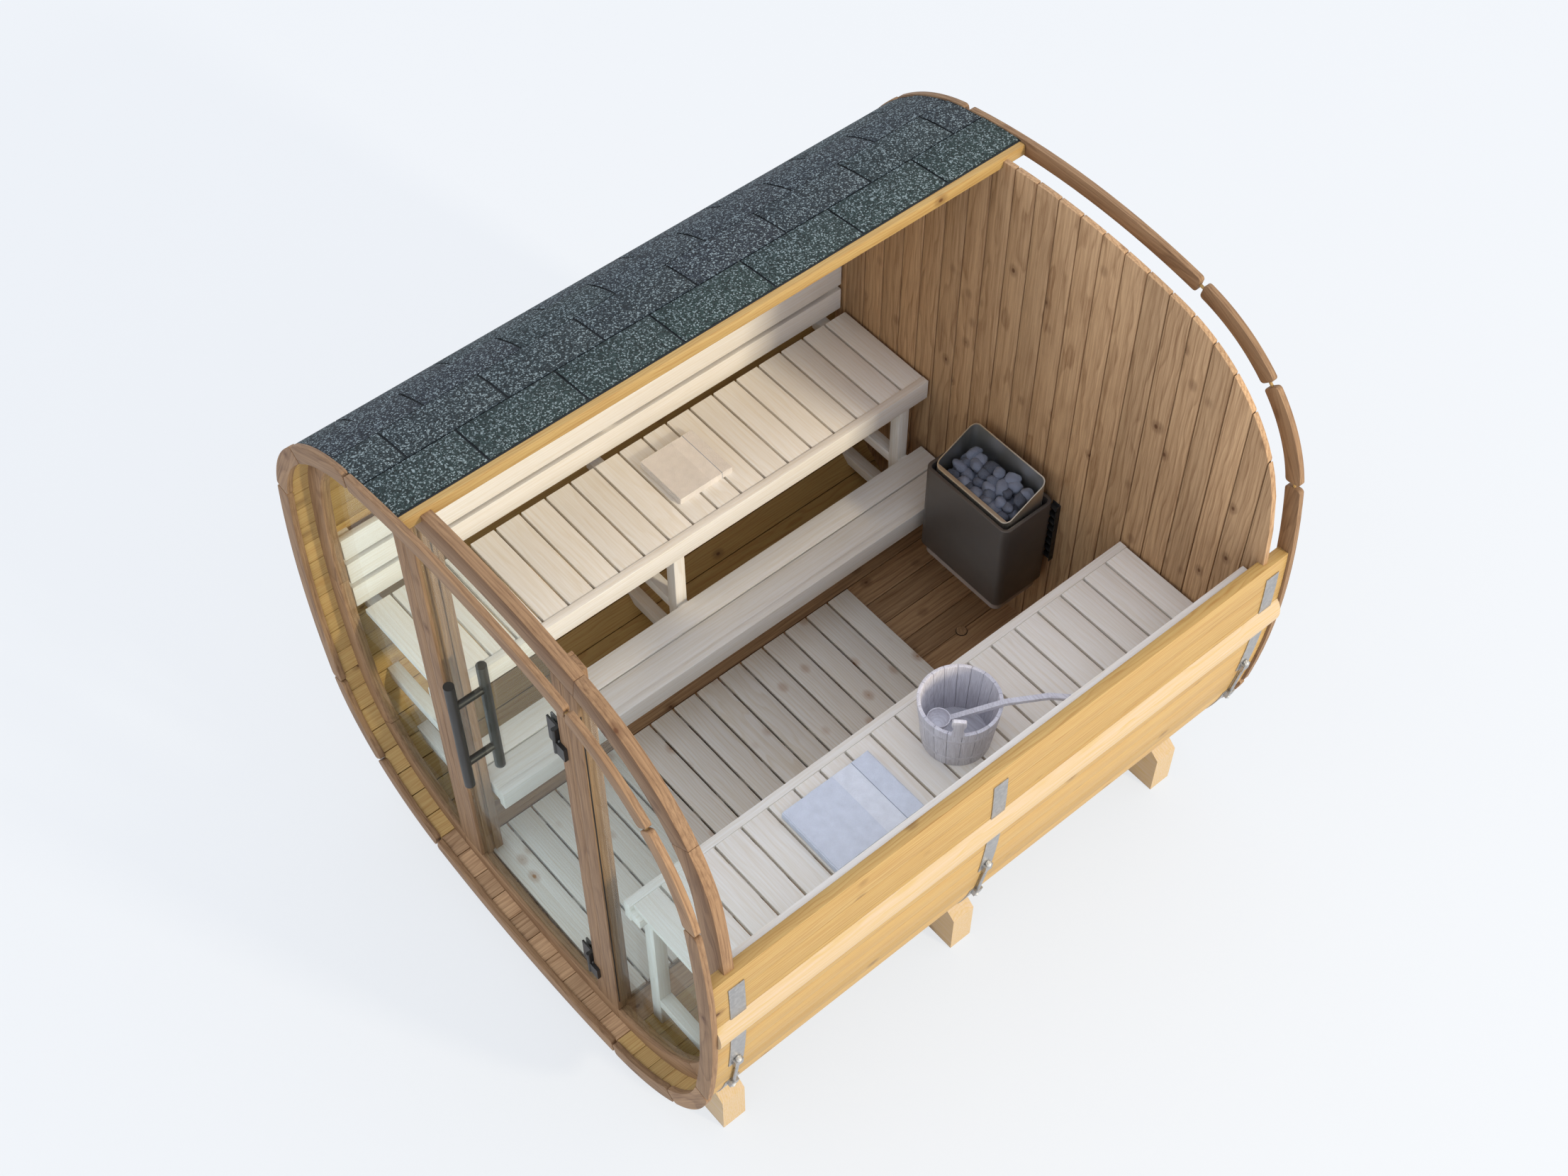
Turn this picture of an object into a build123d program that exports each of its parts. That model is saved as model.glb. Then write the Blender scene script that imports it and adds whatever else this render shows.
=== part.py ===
from build123d import *
from math import acos, asin, atan2, ceil, cos, degrees, hypot, radians, sin, sqrt
import os

# Barrel sauna, shown cut open: rounded-square barrel of staves lying along Y, front towards -Y.
# X is the width, Z is up, the floor that it rests on is z = 0. All sizes are in mm.

# Barrel section, measured over the end fascia boards
barrel_width = 2056
barrel_height = 2056
barrel_length = 2300
side_radius = 2914
top_radius = 2572
corner_radius = 623
ground_gap = 45

# Staves, fascia boards and end walls, as depths in from the outer edge of the fascia
fascia_thickness = 20
fascia_width = 56
stave_inset = 10
stave_thickness = 40
wall_bite = 26
rear_wall_thickness = 20
rear_wall_setback = 94
front_frame_setback = 75
front_frame_thickness = 36
front_frame_width = 88
fascia_round = 12
front_fascia_gap = 8
rear_fascia_gap = 18
dowel_radius = 5
dowel_depth = 12
side_break = 12
corner_middle = 45.5
stave_round = 15

# Where the roof and the right wall are cut away in the drawing
roof_cut_side_gap = 795
wall_cut_height = 1250
shingle_thickness = 5
shingle_edge_back = 25
shingle_strap_gap = 12

# Door, posts and glass
door_opening = 640
post_width = 110
post_depth = 80
glass_thickness = 8
glass_setback = 84
glass_bite = 10
door_gap = 6
door_stop_width = 12
door_stop_gap = 6
header_half_width = 431
handle_offset_x = 195
handle_height = 1095
handle_length = 528
handle_spacing = 300
handle_radius = 17
handle_reach = 53
standoff_radius = 13
stop_groove_front = 40
stop_groove_width = 11
stop_groove_depth = 6
hinge_height = 110
hinge_width = 55
hinge_plate = 6
hinge_low = 360
hinge_high = 1634
hinge_pin_radius = 4
hinge_knuckle_radius = 7
hinge_pivot_gap = 12
hinge_pivot_front = 18
hinge_clearance = 5
post_plate_width = 30
pin_clearance = 0.05
hinge_running_gap = 0.5

# Benches
bench_end_gap = 9
seat_height = 907
slat_thickness = 22
slat_width = 94
slat_pitch = 102.6
seat_post_gap = 64
seat_wall_gap = 123
rail_thickness = 30
rail_depth = 86
rail_proud = 3
timber = 45
leg_rear_gap = 77
leg_middle_y = -65
leg_front_gap = 65
lower_seat_height = 555
lower_seat_gap = 19
lower_seat_depth = 195
lower_board_gap = 6
lower_bench_gap = 5
back_board_height = 96
back_board_gap = 23
back_board_thickness = 22
back_board_count = 3
back_face_gap = 99
batten_width = 50
batten_drop = 5
stretcher_height = 230

# Floor
duck_half_width = 385
duck_heater_gap = 180
duck_height = 150
duck_slat_thickness = 20
duck_batten_width = 45
duck_batten_x = 330
drain_wall_gap = 213
drain_radius = 22
drain_proud = 6

# Outside
beam_width = 88
beam_side_gap = 146
beam_end_height = 180
beam_chamfer_rise = 0.85
beam_front_gap = 174
beam_rear_gap = 194
strap_width = 55
strap_thickness = 3
strap_front_gap = 99
strap_middle_y = -75
strap_rear_gap = 82
strap_top = 1238
strap_break = 738
strap_resume = 590
lug_height = 34
lug_width = 30
lug_thickness = 14
tension_rod_radius = 6
rail_low = 953
rail_high = 1075
rail_bulge = 24

# Heater
heater_left = -218
heater_right = 180
heater_wall_gap = 21
heater_depth = 230
heater_base_height = 410
heater_band = 45
heater_top = 863
heater_corner = 28
heater_well = 140
heater_wall = 14
collar_inset = 22
collar_thickness = 4
collar_front_rise = 6
collar_back_rise = 100
collar_lip = 17
stone_gap = 1
stone_drop = 35
bracket_width = 24
bracket_low = 540
bracket_high = 830

# Bucket, ladle and towels
bucket_seat_inset = 233.5
bucket_y = 98
bucket_top_radius = 131
bucket_foot_radius = 108
bucket_height = 200
bucket_wall = 12
bucket_floor = 14
ear_height = 86
ear_head_height = 30
ear_head_width = 44
ear_neck_width = 31
ear_turn = -46
ladle_bucket_x = -22
ladle_bucket_y = -62
ladle_bowl_drop = 62
ladle_bowl_radius = 36
ladle_turn = 50.5
ladle_rim_reach = 176
ladle_mid_reach = 150
ladle_mid_rise = 40
ladle_end_reach = 215
ladle_end_rise = 30
ladle_wall = 3
ladle_stick_width = 18
ladle_stick_thickness = 12
towel_blue_seat_x = -24
towel_blue_y = -327
towel_blue_size = (254, 345, 28)
towel_beige_seat_x = 4
towel_beige_y = 134
towel_beige_size = (216, 227, 28)
seat_clearance = 0.3
full_turn = 360

half_width = barrel_width / 2
half_height = barrel_height / 2
half_turn = full_turn / 2
half_opening = door_opening / 2
mid_height = ground_gap + half_height
front = -barrel_length / 2
stave_inner = stave_inset + stave_thickness
wall_edge = stave_inner - wall_bite
frame_inner = wall_edge + front_frame_width
frame_front = front + front_frame_setback
frame_back = frame_front + front_frame_thickness
rear_wall_back = front + barrel_length - rear_wall_setback
rear_wall_face = rear_wall_back - rear_wall_thickness
inside_front = frame_back + bench_end_gap
inside_rear = rear_wall_face - bench_end_gap
shell_front = front + fascia_thickness
shell_length = barrel_length - 2 * fascia_thickness
post_outer = half_opening + post_width
seat_inner_x = post_outer + seat_post_gap
seat_outer_x = half_width - seat_wall_gap
roof_cut_x = half_width - roof_cut_side_gap
seat_middle_x = (seat_inner_x + seat_outer_x) / 2
lower_seat_outer_x = seat_inner_x - lower_seat_gap
lower_seat_inner_x = lower_seat_outer_x - lower_seat_depth
back_face_x = half_width - back_face_gap
heater_back = rear_wall_face - heater_wall_gap
heater_front = heater_back - heater_depth
duck_rear = heater_front - duck_heater_gap
beam_half_length = half_width - beam_side_gap

# The section is eight arcs that meet in line. A point on it is named by the direction that it
# faces, in degrees up from +X, and by its depth in from the outer edge.
side_x = half_width - side_radius
top_z = half_height - top_radius


def arc_meeting():
    """Centre of the corner arc that is tangent inside both the side arc and the top arc."""
    side_reach = side_radius - corner_radius
    top_reach = top_radius - corner_radius
    span = hypot(side_x, top_z)
    along = (side_reach**2 - top_reach**2 + span**2) / (2 * span)
    across = sqrt(side_reach**2 - along**2)
    ux, uz = -side_x / span, top_z / span
    return side_x + along * ux - across * uz, along * uz + across * ux


corner_x, corner_z = arc_meeting()
side_turn = degrees(atan2(corner_z, corner_x - side_x))
top_turn = degrees(atan2(corner_z - top_z, corner_x))
once_round = [
    (-side_turn, side_x, 0, side_radius),
    (side_turn, corner_x, corner_z, corner_radius),
    (top_turn, 0, top_z, top_radius),
    (half_turn - top_turn, -corner_x, corner_z, corner_radius),
    (half_turn - side_turn, -side_x, 0, side_radius),
    (half_turn + side_turn, -corner_x, -corner_z, corner_radius),
    (half_turn + top_turn, 0, -top_z, top_radius),
    (full_turn - top_turn, corner_x, -corner_z, corner_radius),
]
section = [(start + lap, *arc) for lap in (-full_turn, 0, full_turn) for start, *arc in once_round]


def spot(facing, depth):
    """Point of the section that faces this way, this deep, in the plane y = 0."""
    start, cx, cz, radius = [arc for arc in section if arc[0] <= facing + 1e-9][-1]
    reach = radius - depth
    turn = radians(facing)
    return Vector(cx + reach * cos(turn), 0, mid_height + cz + reach * sin(turn))


def stretches(start, end):
    """The facing range from start to end, split where one arc passes to the next."""
    breaks = [arc[0] for arc in section if start + 1e-6 < arc[0] < end - 1e-6]
    stops = [start] + breaks + [end]
    return list(zip(stops, stops[1:]))


def run(start, end, depth):
    return [
        ThreePointArc(spot(a, depth), spot((a + b) / 2, depth), spot(b, depth))
        for a, b in stretches(start, end)
    ]


def band(start, end, outer, inner, round_ends=0):
    """Flat curved board in the section's plane, with its end corners rounded."""
    edges = run(start, end, outer)
    edges += [Line(spot(end, outer), spot(end, inner))]
    edges += run(start, end, inner)
    edges += [Line(spot(start, inner), spot(start, outer))]
    face = Face(Wire(edges))
    if round_ends:
        ends = [spot(turn, depth) for turn in (start, end) for depth in (outer, inner)]
        corners = [v for v in face.vertices() if min((Vector(v) - e).length for e in ends) < 0.1]
        face = face.fillet_2d(round_ends, corners)
    return face


def disc(depth):
    """Whole section, this deep in from the outer edge."""
    return Face(Wire(run(-side_turn, full_turn - side_turn, depth)))


def along_y(face, start, length):
    """Solid that runs along Y from start."""
    if face.normal_at().Y < 0:
        face = -face
    return Pos(0, start, 0) * extrude(face, length)


def block(x0, x1, y0, y1, z0, z1):
    size = (x1 - x0, y1 - y0, z1 - z0)
    return Pos((x0 + x1) / 2, (y0 + y1) / 2, (z0 + z1) / 2) * Box(*size)


def rod(start, end, radius):
    """Round bar from one point to another."""
    middle = Plane(origin=(start + end) / 2, z_dir=end - start)
    return middle * Cylinder(radius, (end - start).length)


def mirror_x(solid):
    return mirror(solid, Plane.YZ)


def left_and_right(solid):
    return [mirror_x(solid), solid]


def facing_of_height(height, depth):
    """Facing of the right side arc at this height above the ground."""
    return degrees(asin((height - mid_height) / (side_radius - depth)))


def facing_of_x(x, depth):
    """Facing of the top arc at this distance to the right of the middle."""
    return degrees(acos(x / (top_radius - depth)))


inside = along_y(disc(stave_inner), shell_front, shell_length)
nodes = {}

# Staves, one solid for each side and corner of the barrel
roof_cut = facing_of_x(-roof_cut_x, stave_inset + stave_thickness / 2)
wall_cut = facing_of_height(wall_cut_height + ground_gap, stave_inset)
groove_face = disc(wall_edge)
grooves = [
    along_y(groove_face, frame_front, front_frame_thickness),
    along_y(groove_face, rear_wall_face, rear_wall_thickness),
]


def staves(start, end):
    solid = along_y(band(start, end, stave_inset, stave_inner), shell_front, shell_length)
    return solid - grooves


roof = along_y(band(roof_cut, half_turn - top_turn, stave_inset, stave_inner), shell_front, shell_length)
cut_spots = [spot(roof_cut, depth) for depth in (stave_inset, stave_inner)]
nose = [
    e for e in roof.edges().filter_by(Axis.Y)
    if min(hypot(e.center().X - s.X, e.center().Z - s.Z) for s in cut_spots) < 0.1
]
nodes["shell_roof"] = roof.fillet(stave_round, nose) - grooves
nodes["shell_corner_top_left"] = staves(half_turn - top_turn, half_turn - side_turn)
nodes["shell_wall_left"] = staves(half_turn - side_turn, half_turn + side_turn)
nodes["shell_corner_bottom_left"] = staves(half_turn + side_turn, half_turn + top_turn)
nodes["shell_floor"] = staves(half_turn + top_turn, full_turn - top_turn)
nodes["shell_corner_bottom_right"] = staves(full_turn - top_turn, full_turn - side_turn)
nodes["shell_wall_right"] = staves(-side_turn, wall_cut)

# Drain plug in the floor staves
drain_top = ground_gap + stave_inner + drain_proud
drain_y = rear_wall_face - drain_wall_gap
drain = Pos(0, drain_y, drain_top - drain_proud / 2) * Cylinder(drain_radius, drain_proud)
nodes["drain_plug"] = drain - nodes["shell_floor"]

# Shingles on the left half of the roof and down the corner, to just above the straps
shingle_outer = stave_inset - shingle_thickness
shingle_start = facing_of_x(-roof_cut_x - shingle_edge_back, shingle_outer)
shingle_end = half_turn - facing_of_height(strap_top + shingle_strap_gap, stave_inset)
shingle_face = band(shingle_start, shingle_end, shingle_outer, stave_inset)
nodes["roof_shingles"] = along_y(shingle_face, shell_front, shell_length)

# Fascia rings of twelve boards, named in turn a and b so that neighbours are apart
fascia_joints = []
for quarter in (0, half_turn):
    fascia_joints += [
        quarter + side_break, quarter + corner_middle, quarter + top_turn,
        quarter + half_turn - top_turn, quarter + half_turn - corner_middle, quarter + half_turn - side_break,
    ]
fascia_spans = list(zip(fascia_joints, fascia_joints[1:] + [full_turn + side_break]))
# Above the cut the ring has no staves behind it, so dowels join the boards there
doweled = fascia_joints[:3]
rear_fascia_y = front + barrel_length - fascia_thickness


def moved(facing, length):
    """Facing this far round the outside from another, on the arc on that side of it."""
    nudge = 0.01 if length > 0 else -0.01
    radius = [arc for arc in section if arc[0] <= facing + nudge][-1][3]
    return facing + degrees(length / radius)


def fascia_board(start, stop, y, gap):
    face = band(moved(start, gap / 2), moved(stop, -gap / 2), 0, fascia_width, fascia_round)
    return along_y(face, y, fascia_thickness)


for end, y, gap in (
    ("front", front, front_fascia_gap), ("rear", rear_fascia_y, rear_fascia_gap)
):
    boards = [fascia_board(start, stop, y, gap) for start, stop in fascia_spans]
    for joint in doweled:
        after = fascia_joints.index(joint)
        middle = Vector(0, y + fascia_thickness / 2, 0)
        tail = spot(moved(joint, -gap / 2 - dowel_depth), fascia_width / 2) + middle
        head = spot(moved(joint, gap / 2 + 1), fascia_width / 2) + middle
        boards[after - 1] = boards[after - 1] + (rod(tail, head, dowel_radius) - boards[after])
    for turn, letter in enumerate("ab"):
        nodes[f"{end}_fascia_boards_{letter}"] = boards[turn::2]

# Rear wall
nodes["rear_wall"] = along_y(disc(wall_edge), rear_wall_face, rear_wall_thickness)

# Front wall: curved frame in four pieces, posts, two fixed panes and the door
header_turn = facing_of_x(header_half_width, wall_edge)


def frame_piece(start, end):
    return along_y(band(start, end, wall_edge, frame_inner), frame_front, front_frame_thickness)


frame_hole = along_y(disc(frame_inner), frame_front, post_depth)
post_front = block(
    half_opening, post_outer, frame_front, frame_front + post_depth, 0, mid_height + half_height
)
glass_front = front + glass_setback
glass_back = glass_front + glass_thickness
stop_front = glass_back + door_stop_gap
door_stop = block(
    half_opening - door_stop_width, half_opening, stop_front, frame_front + post_depth,
    0, mid_height + half_height,
)
groove_front = frame_front + stop_groove_front
stop_groove = block(
    half_opening - door_stop_width, half_opening - door_stop_width + stop_groove_depth,
    groove_front, groove_front + stop_groove_width, 0, mid_height + half_height,
)
post = (post_front + door_stop - stop_groove) & frame_hole
pane_disc = along_y(disc(frame_inner - glass_bite), glass_front, glass_thickness)
pane_left_edge = post_outer - glass_bite
pane = pane_disc & block(
    pane_left_edge, half_width, glass_front, glass_back, 0, mid_height + half_height
)
right_curve = frame_piece(-header_turn, header_turn) - pane
nodes["front_frame_right"] = right_curve
nodes["front_frame_left"] = mirror_x(right_curve)
nodes["front_header"] = frame_piece(header_turn, half_turn - header_turn) - [pane, mirror_x(pane)]
nodes["front_sill"] = (
    frame_piece(half_turn + header_turn, full_turn - header_turn) - [pane, mirror_x(pane)]
)
nodes["front_posts"] = left_and_right(post - pane)
nodes["front_side_glass"] = left_and_right(pane)

# Door leaf of plain glass, hung on the right post and opening outwards
door_disc = along_y(disc(frame_inner + door_gap), glass_front, glass_thickness)
leaf_left = -half_opening + door_gap
leaf_right = half_opening - door_gap
leaf = door_disc & block(
    leaf_left, leaf_right, glass_front, glass_back, 0, mid_height + half_height
)
handle_x = -handle_offset_x
glass_middle = (glass_front + glass_back) / 2
standoff_heights = [handle_height - handle_spacing / 2, handle_height + handle_spacing / 2]


def rod_along_y(x, y0, y1, z, radius):
    return Pos(x, (y0 + y1) / 2, z) * Rot(90, 0, 0) * Cylinder(radius, y1 - y0)


bar_front = glass_front - handle_reach
bar_back = glass_back + handle_reach
standoffs = [
    rod_along_y(handle_x, bar_front, bar_back, z, standoff_radius) for z in standoff_heights
]
handle = Part() + [
    Pos(handle_x, y, handle_height) * Cylinder(handle_radius, handle_length)
    for y in (bar_front, bar_back)
]
for standoff in standoffs:
    handle = handle + standoff
    leaf = leaf - standoff
nodes["door_glass"] = leaf
nodes["door_handle"] = handle

# Hinges: the clamp plates and upper knuckle move, the post plate, lower knuckle and pin stay
pivot_x = half_opening - hinge_pivot_gap
pivot_y = glass_front - hinge_pivot_front
clamp_left = leaf_right - hinge_width
clamp_front = glass_front - hinge_plate
clamp_back = glass_back + hinge_plate
back_plate_right = half_opening - door_stop_width - hinge_clearance
post_plate_front = pivot_y - hinge_plate / 2


def upright(radius, z0, z1):
    return Pos(pivot_x, pivot_y, (z0 + z1) / 2) * Cylinder(radius, z1 - z0)


def hinge(z):
    low = z - hinge_height / 2
    high = z + hinge_height / 2
    moving_low = z + hinge_running_gap
    fixed_high = z - hinge_running_gap
    moving = block(clamp_left, leaf_right, clamp_front, glass_front, low, high)
    moving += block(pivot_x - hinge_plate, leaf_right, pivot_y, clamp_front, moving_low, high)
    moving += upright(hinge_knuckle_radius, moving_low, high)
    moving -= upright(hinge_pin_radius + pin_clearance, low, high)
    back_plate = block(clamp_left, back_plate_right, glass_back, clamp_back, low, high)
    fixed = block(
        half_opening, half_opening + post_plate_width, post_plate_front, frame_front,
        low, fixed_high,
    )
    fixed += block(
        pivot_x, half_opening, post_plate_front, post_plate_front + hinge_plate,
        low, fixed_high,
    )
    fixed += upright(hinge_knuckle_radius, low, fixed_high)
    fixed += upright(hinge_pin_radius, low, high)
    return moving, back_plate, fixed


hinges = [hinge(z) for z in (hinge_low, hinge_high)]
nodes["door_hinge_clamps"] = [solid for trio in hinges for solid in trio[:2]]
nodes["door_hinge_pins"] = [trio[2] for trio in hinges]

# Benches
slat_low = seat_height - slat_thickness
lower_front = frame_front + post_depth + lower_bench_gap
slat_count = int((inside_rear - inside_front - slat_width) / slat_pitch) + 1
slat_starts = [inside_rear - slat_width - k * slat_pitch for k in range(slat_count)]
right_slats = [
    block(seat_inner_x, seat_outer_x, y, y + slat_width, slat_low, seat_height) for y in slat_starts
]
rail_inner_x = seat_inner_x - rail_thickness
rail_low_z = seat_height + rail_proud - rail_depth
leg_centres = [inside_rear - leg_rear_gap, leg_middle_y, inside_front + leg_front_gap]
leg_x = seat_inner_x + timber
bearer_low = slat_low - timber


def bench_frame():
    """Front rail, long bearers, cross bearers, legs and low stretchers of the right bench."""
    frame = block(
        rail_inner_x, seat_inner_x, inside_front, inside_rear, rail_low_z, seat_height + rail_proud
    )
    frame += block(seat_inner_x, leg_x, inside_front, inside_rear, bearer_low, slat_low)
    for y in leg_centres:
        y0, y1 = y - timber / 2, y + timber / 2
        frame += block(seat_inner_x, half_width, y0, y1, bearer_low, slat_low)
        frame += block(seat_inner_x, leg_x, y0, y1, ground_gap, bearer_low)
        low = ground_gap + stretcher_height
        frame += block(seat_inner_x, half_width, y0, y1, low, low + timber)
    return frame & inside


right_frame = bench_frame()
lower_slat_low = lower_seat_height - slat_thickness
lower_bearer_low = lower_slat_low - timber
lower_rail_x = lower_seat_inner_x - rail_thickness


def lower_bench_frame():
    """Cross bearers that run out from the wall past the legs, and the lower front rail."""
    frame = block(
        lower_rail_x, lower_seat_inner_x, lower_front, inside_rear,
        lower_seat_height + rail_proud - rail_depth, lower_seat_height + rail_proud,
    )
    for y in leg_centres:
        frame += block(
            lower_seat_inner_x, half_width, y - timber / 2, y + timber / 2,
            lower_bearer_low, lower_slat_low,
        )
    return frame & inside


nodes["bench_right_frame"] = right_frame
nodes["bench_left_frame"] = mirror_x(right_frame)
nodes["bench_lower_frame"] = mirror_x(lower_bench_frame() - right_frame)
nodes["bench_right_slats"] = right_slats
nodes["bench_left_slats"] = [mirror_x(slat) for slat in right_slats]
lower_board_width = (lower_seat_outer_x - lower_seat_inner_x - lower_board_gap) / 2
lower_boards = []
for k in range(2):
    x = lower_seat_inner_x + k * (lower_board_width + lower_board_gap)
    lower_boards.append(mirror_x(block(
        x, x + lower_board_width, lower_front, inside_rear, lower_slat_low, lower_seat_height
    )))
nodes["bench_lower_boards"] = lower_boards

# Backrests: three boards on upright battens against the staves
back_boards = []
for k in range(back_board_count):
    z = seat_height + k * (back_board_height + back_board_gap)
    back_boards.append(block(
        back_face_x, back_face_x + back_board_thickness, inside_front, inside_rear,
        z, z + back_board_height,
    ))
back_top = seat_height + back_board_count * (back_board_height + back_board_gap) - back_board_gap
battens = [
    block(
        back_face_x + back_board_thickness, half_width, y - batten_width / 2,
        y + batten_width / 2, slat_low, back_top - batten_drop,
    ) & inside
    for y in (inside_rear - batten_width / 2, 0, inside_front + batten_width / 2)
]
backrest = Part() + back_boards + battens
nodes["backrest_right"] = backrest
nodes["backrest_left"] = mirror_x(backrest)

# Duckboard on the floor
duck_low = duck_height - duck_slat_thickness
duck_count = int((duck_rear - inside_front - slat_width) / slat_pitch) + 1
duck_starts = [duck_rear - slat_width - k * slat_pitch for k in range(duck_count)]
duck_slats = [
    block(-duck_half_width, duck_half_width, y, y + slat_width, duck_low, duck_height)
    for y in duck_starts
]
duck_battens = [
    block(
        x - duck_batten_width / 2, x + duck_batten_width / 2, duck_starts[-1], duck_rear,
        ground_gap, duck_low,
    ) & inside
    for x in (-duck_batten_x, 0, duck_batten_x)
]
nodes["duckboard"] = Part() + duck_slats + duck_battens

# Support beams, hollowed to the barrel
beam_height = mid_height - half_height / 2
beam_ramp = beam_half_length - (beam_height - beam_end_height) / beam_chamfer_rise
beam_outline = Polyline(
    (-beam_half_length, 0), (beam_half_length, 0), (beam_half_length, beam_end_height),
    (beam_ramp, beam_height), (-beam_ramp, beam_height), (-beam_half_length, beam_end_height),
    close=True,
)
beam_face = Plane.XZ * make_face(beam_outline)
hollow = along_y(disc(stave_inset), front, barrel_length)
nodes["support_beams"] = [
    Pos(0, y, 0) * extrude(beam_face, beam_width / 2, both=True) - hollow
    for y in (front + beam_front_gap, 0, front + barrel_length - beam_rear_gap)
]

# Half-round rails and the flat steel straps with their tensioners, both sides
strap_outer = stave_inset - strap_thickness
break_turn = facing_of_height(strap_break, stave_inset)
top_end_turn = facing_of_height(strap_top, stave_inset)
resume_turn = degrees(
    asin((mid_height - strap_resume - corner_z) / (corner_radius - stave_inset))
)
lug_turn = degrees(lug_height / side_radius)
low_lug_turn = degrees(lug_height / corner_radius)
upper_strap = band(break_turn, top_end_turn, strap_outer, stave_inset)
under_strap = band(half_turn + resume_turn, full_turn - resume_turn, strap_outer, stave_inset)
high_lug = band(break_turn, break_turn + lug_turn, strap_outer - lug_thickness, strap_outer)
low_lug = band(
    full_turn - resume_turn - low_lug_turn, full_turn - resume_turn,
    strap_outer - lug_thickness, strap_outer,
)
strap_centres = [
    front + strap_front_gap, strap_middle_y, front + barrel_length - strap_rear_gap
]
rail_turns = [facing_of_height(z, stave_inset) for z in (rail_low, rail_high)]
rail_ends = [spot(turn, stave_inset) for turn in rail_turns]
rail_crown = spot(sum(rail_turns) / 2, stave_inset - rail_bulge)
rail_foot = spot(sum(rail_turns) / 2, stave_inset)
rail_face = Face(Wire([
    ThreePointArc(rail_ends[0], rail_crown, rail_ends[1]),
    ThreePointArc(rail_ends[0], rail_foot, rail_ends[1]),
]))
side_rail = along_y(rail_face, shell_front, shell_length)
rod_depth = strap_outer - lug_thickness / 2
rod_top = spot(break_turn + lug_turn / 2, rod_depth)
rod_foot = spot(full_turn - resume_turn - low_lug_turn / 2, rod_depth)
tension_rod = rod(rod_top, rod_foot, tension_rod_radius)
side_straps = []
under_straps = []
tensioners = []
for y in strap_centres:
    upper = along_y(upper_strap, y - strap_width / 2, strap_width)
    side_rail = side_rail - upper
    side_straps += left_and_right(upper)
    under_straps.append(along_y(under_strap, y - strap_width / 2, strap_width))
    tensioner = along_y(high_lug, y - lug_width / 2, lug_width)
    tensioner += along_y(low_lug, y - lug_width / 2, lug_width)
    tensioner += Pos(0, y, 0) * tension_rod
    tensioners += left_and_right(tensioner)
nodes["side_rails"] = left_and_right(side_rail)
nodes["side_straps"] = side_straps
nodes["under_straps"] = under_straps
nodes["strap_tensioners"] = tensioners

# Heater on the rear wall
heater_mid_x = (heater_left + heater_right) / 2
heater_mid_y = (heater_front + heater_back) / 2
heater_width = heater_right - heater_left
body_low = heater_base_height + heater_band


def rounded_box(width, depth, radius, z0, z1):
    face = RectangleRounded(width, depth, radius)
    return Pos(heater_mid_x, heater_mid_y, z0) * extrude(face, z1 - z0)


well_width = heater_width - 2 * heater_wall
well_depth = heater_depth - 2 * heater_wall
well = rounded_box(
    well_width, well_depth, heater_corner - heater_wall, heater_top - heater_well, heater_top
)
nodes["heater_body"] = (
    rounded_box(heater_width, heater_depth, heater_corner, body_low, heater_top) - well
)
base_inset = 2 * heater_wall
nodes["heater_base"] = rounded_box(
    heater_width - base_inset, heater_depth - base_inset, heater_corner, heater_base_height,
    body_low,
)
collar_width = heater_width - 2 * collar_inset
collar_depth = heater_depth - 2 * collar_inset
collar_low = heater_top - heater_well
collar_high = heater_top + collar_back_rise
collar = rounded_box(collar_width, collar_depth, heater_corner, collar_low, collar_high)
collar -= rounded_box(
    collar_width - 2 * collar_thickness, collar_depth - 2 * collar_thickness,
    heater_corner - collar_thickness, collar_low, collar_high,
)
slope = degrees(atan2(collar_back_rise - collar_front_rise, collar_depth))
cutter = Pos(heater_mid_x, heater_front + collar_inset, heater_top + collar_front_rise) * Rot(
    slope, 0, 0
) * Pos(0, 0, heater_width / 2) * Box(heater_width, 3 * heater_depth, heater_width)
lip_front = heater_front + collar_inset
lip_high = heater_top + collar_front_rise
lip_low = lip_high - collar_thickness
lip = rounded_box(collar_width, collar_depth, heater_corner, lip_low, lip_high)
lip &= block(heater_left, heater_right, lip_front, lip_front + collar_lip, lip_low, lip_high)
nodes["heater_collar"] = collar - cutter + lip
stone_side = 2 * (collar_thickness + stone_gap)
stone_width = collar_width - stone_side
stone_depth = collar_depth - stone_side
stone_corner = heater_corner - collar_thickness - stone_gap
stones = rounded_box(stone_width, stone_depth, stone_corner, collar_low, collar_high)
nodes["heater_stones"] = stones - Pos(0, 0, -stone_drop) * cutter
nodes["heater_bracket"] = block(
    heater_right - bracket_width, heater_right + bracket_width / 2, heater_back, rear_wall_face,
    bracket_low, bracket_high,
)

# Bucket and ladle on the right bench
bucket_base = seat_height + seat_clearance
bucket_shell = Cone(bucket_foot_radius, bucket_top_radius, bucket_height)
bucket_hollow = Pos(0, 0, bucket_floor) * Cone(
    bucket_foot_radius - bucket_wall, bucket_top_radius - bucket_wall, bucket_height
)
ear = Box(ear_neck_width, bucket_wall, ear_height)
ear += Pos(0, 0, (ear_height - ear_head_height) / 2) * Box(
    ear_head_width, bucket_wall, ear_head_height
)
stave_lean = degrees(atan2(bucket_top_radius - bucket_foot_radius, bucket_height))
ear_place = (
    Rot(0, 0, ear_turn - 90)
    * Pos(0, bucket_top_radius - bucket_wall / 2, bucket_height / 2)
    * Rot(-stave_lean, 0, 0)
    * Pos(0, 0, ear_height / 2 - 1)
)
bucket_x = seat_outer_x - bucket_seat_inset
bucket_place = Pos(bucket_x, bucket_y, bucket_base + bucket_height / 2)
nodes["bucket"] = bucket_place * (bucket_shell - bucket_hollow + ear_place * ear)


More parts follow.
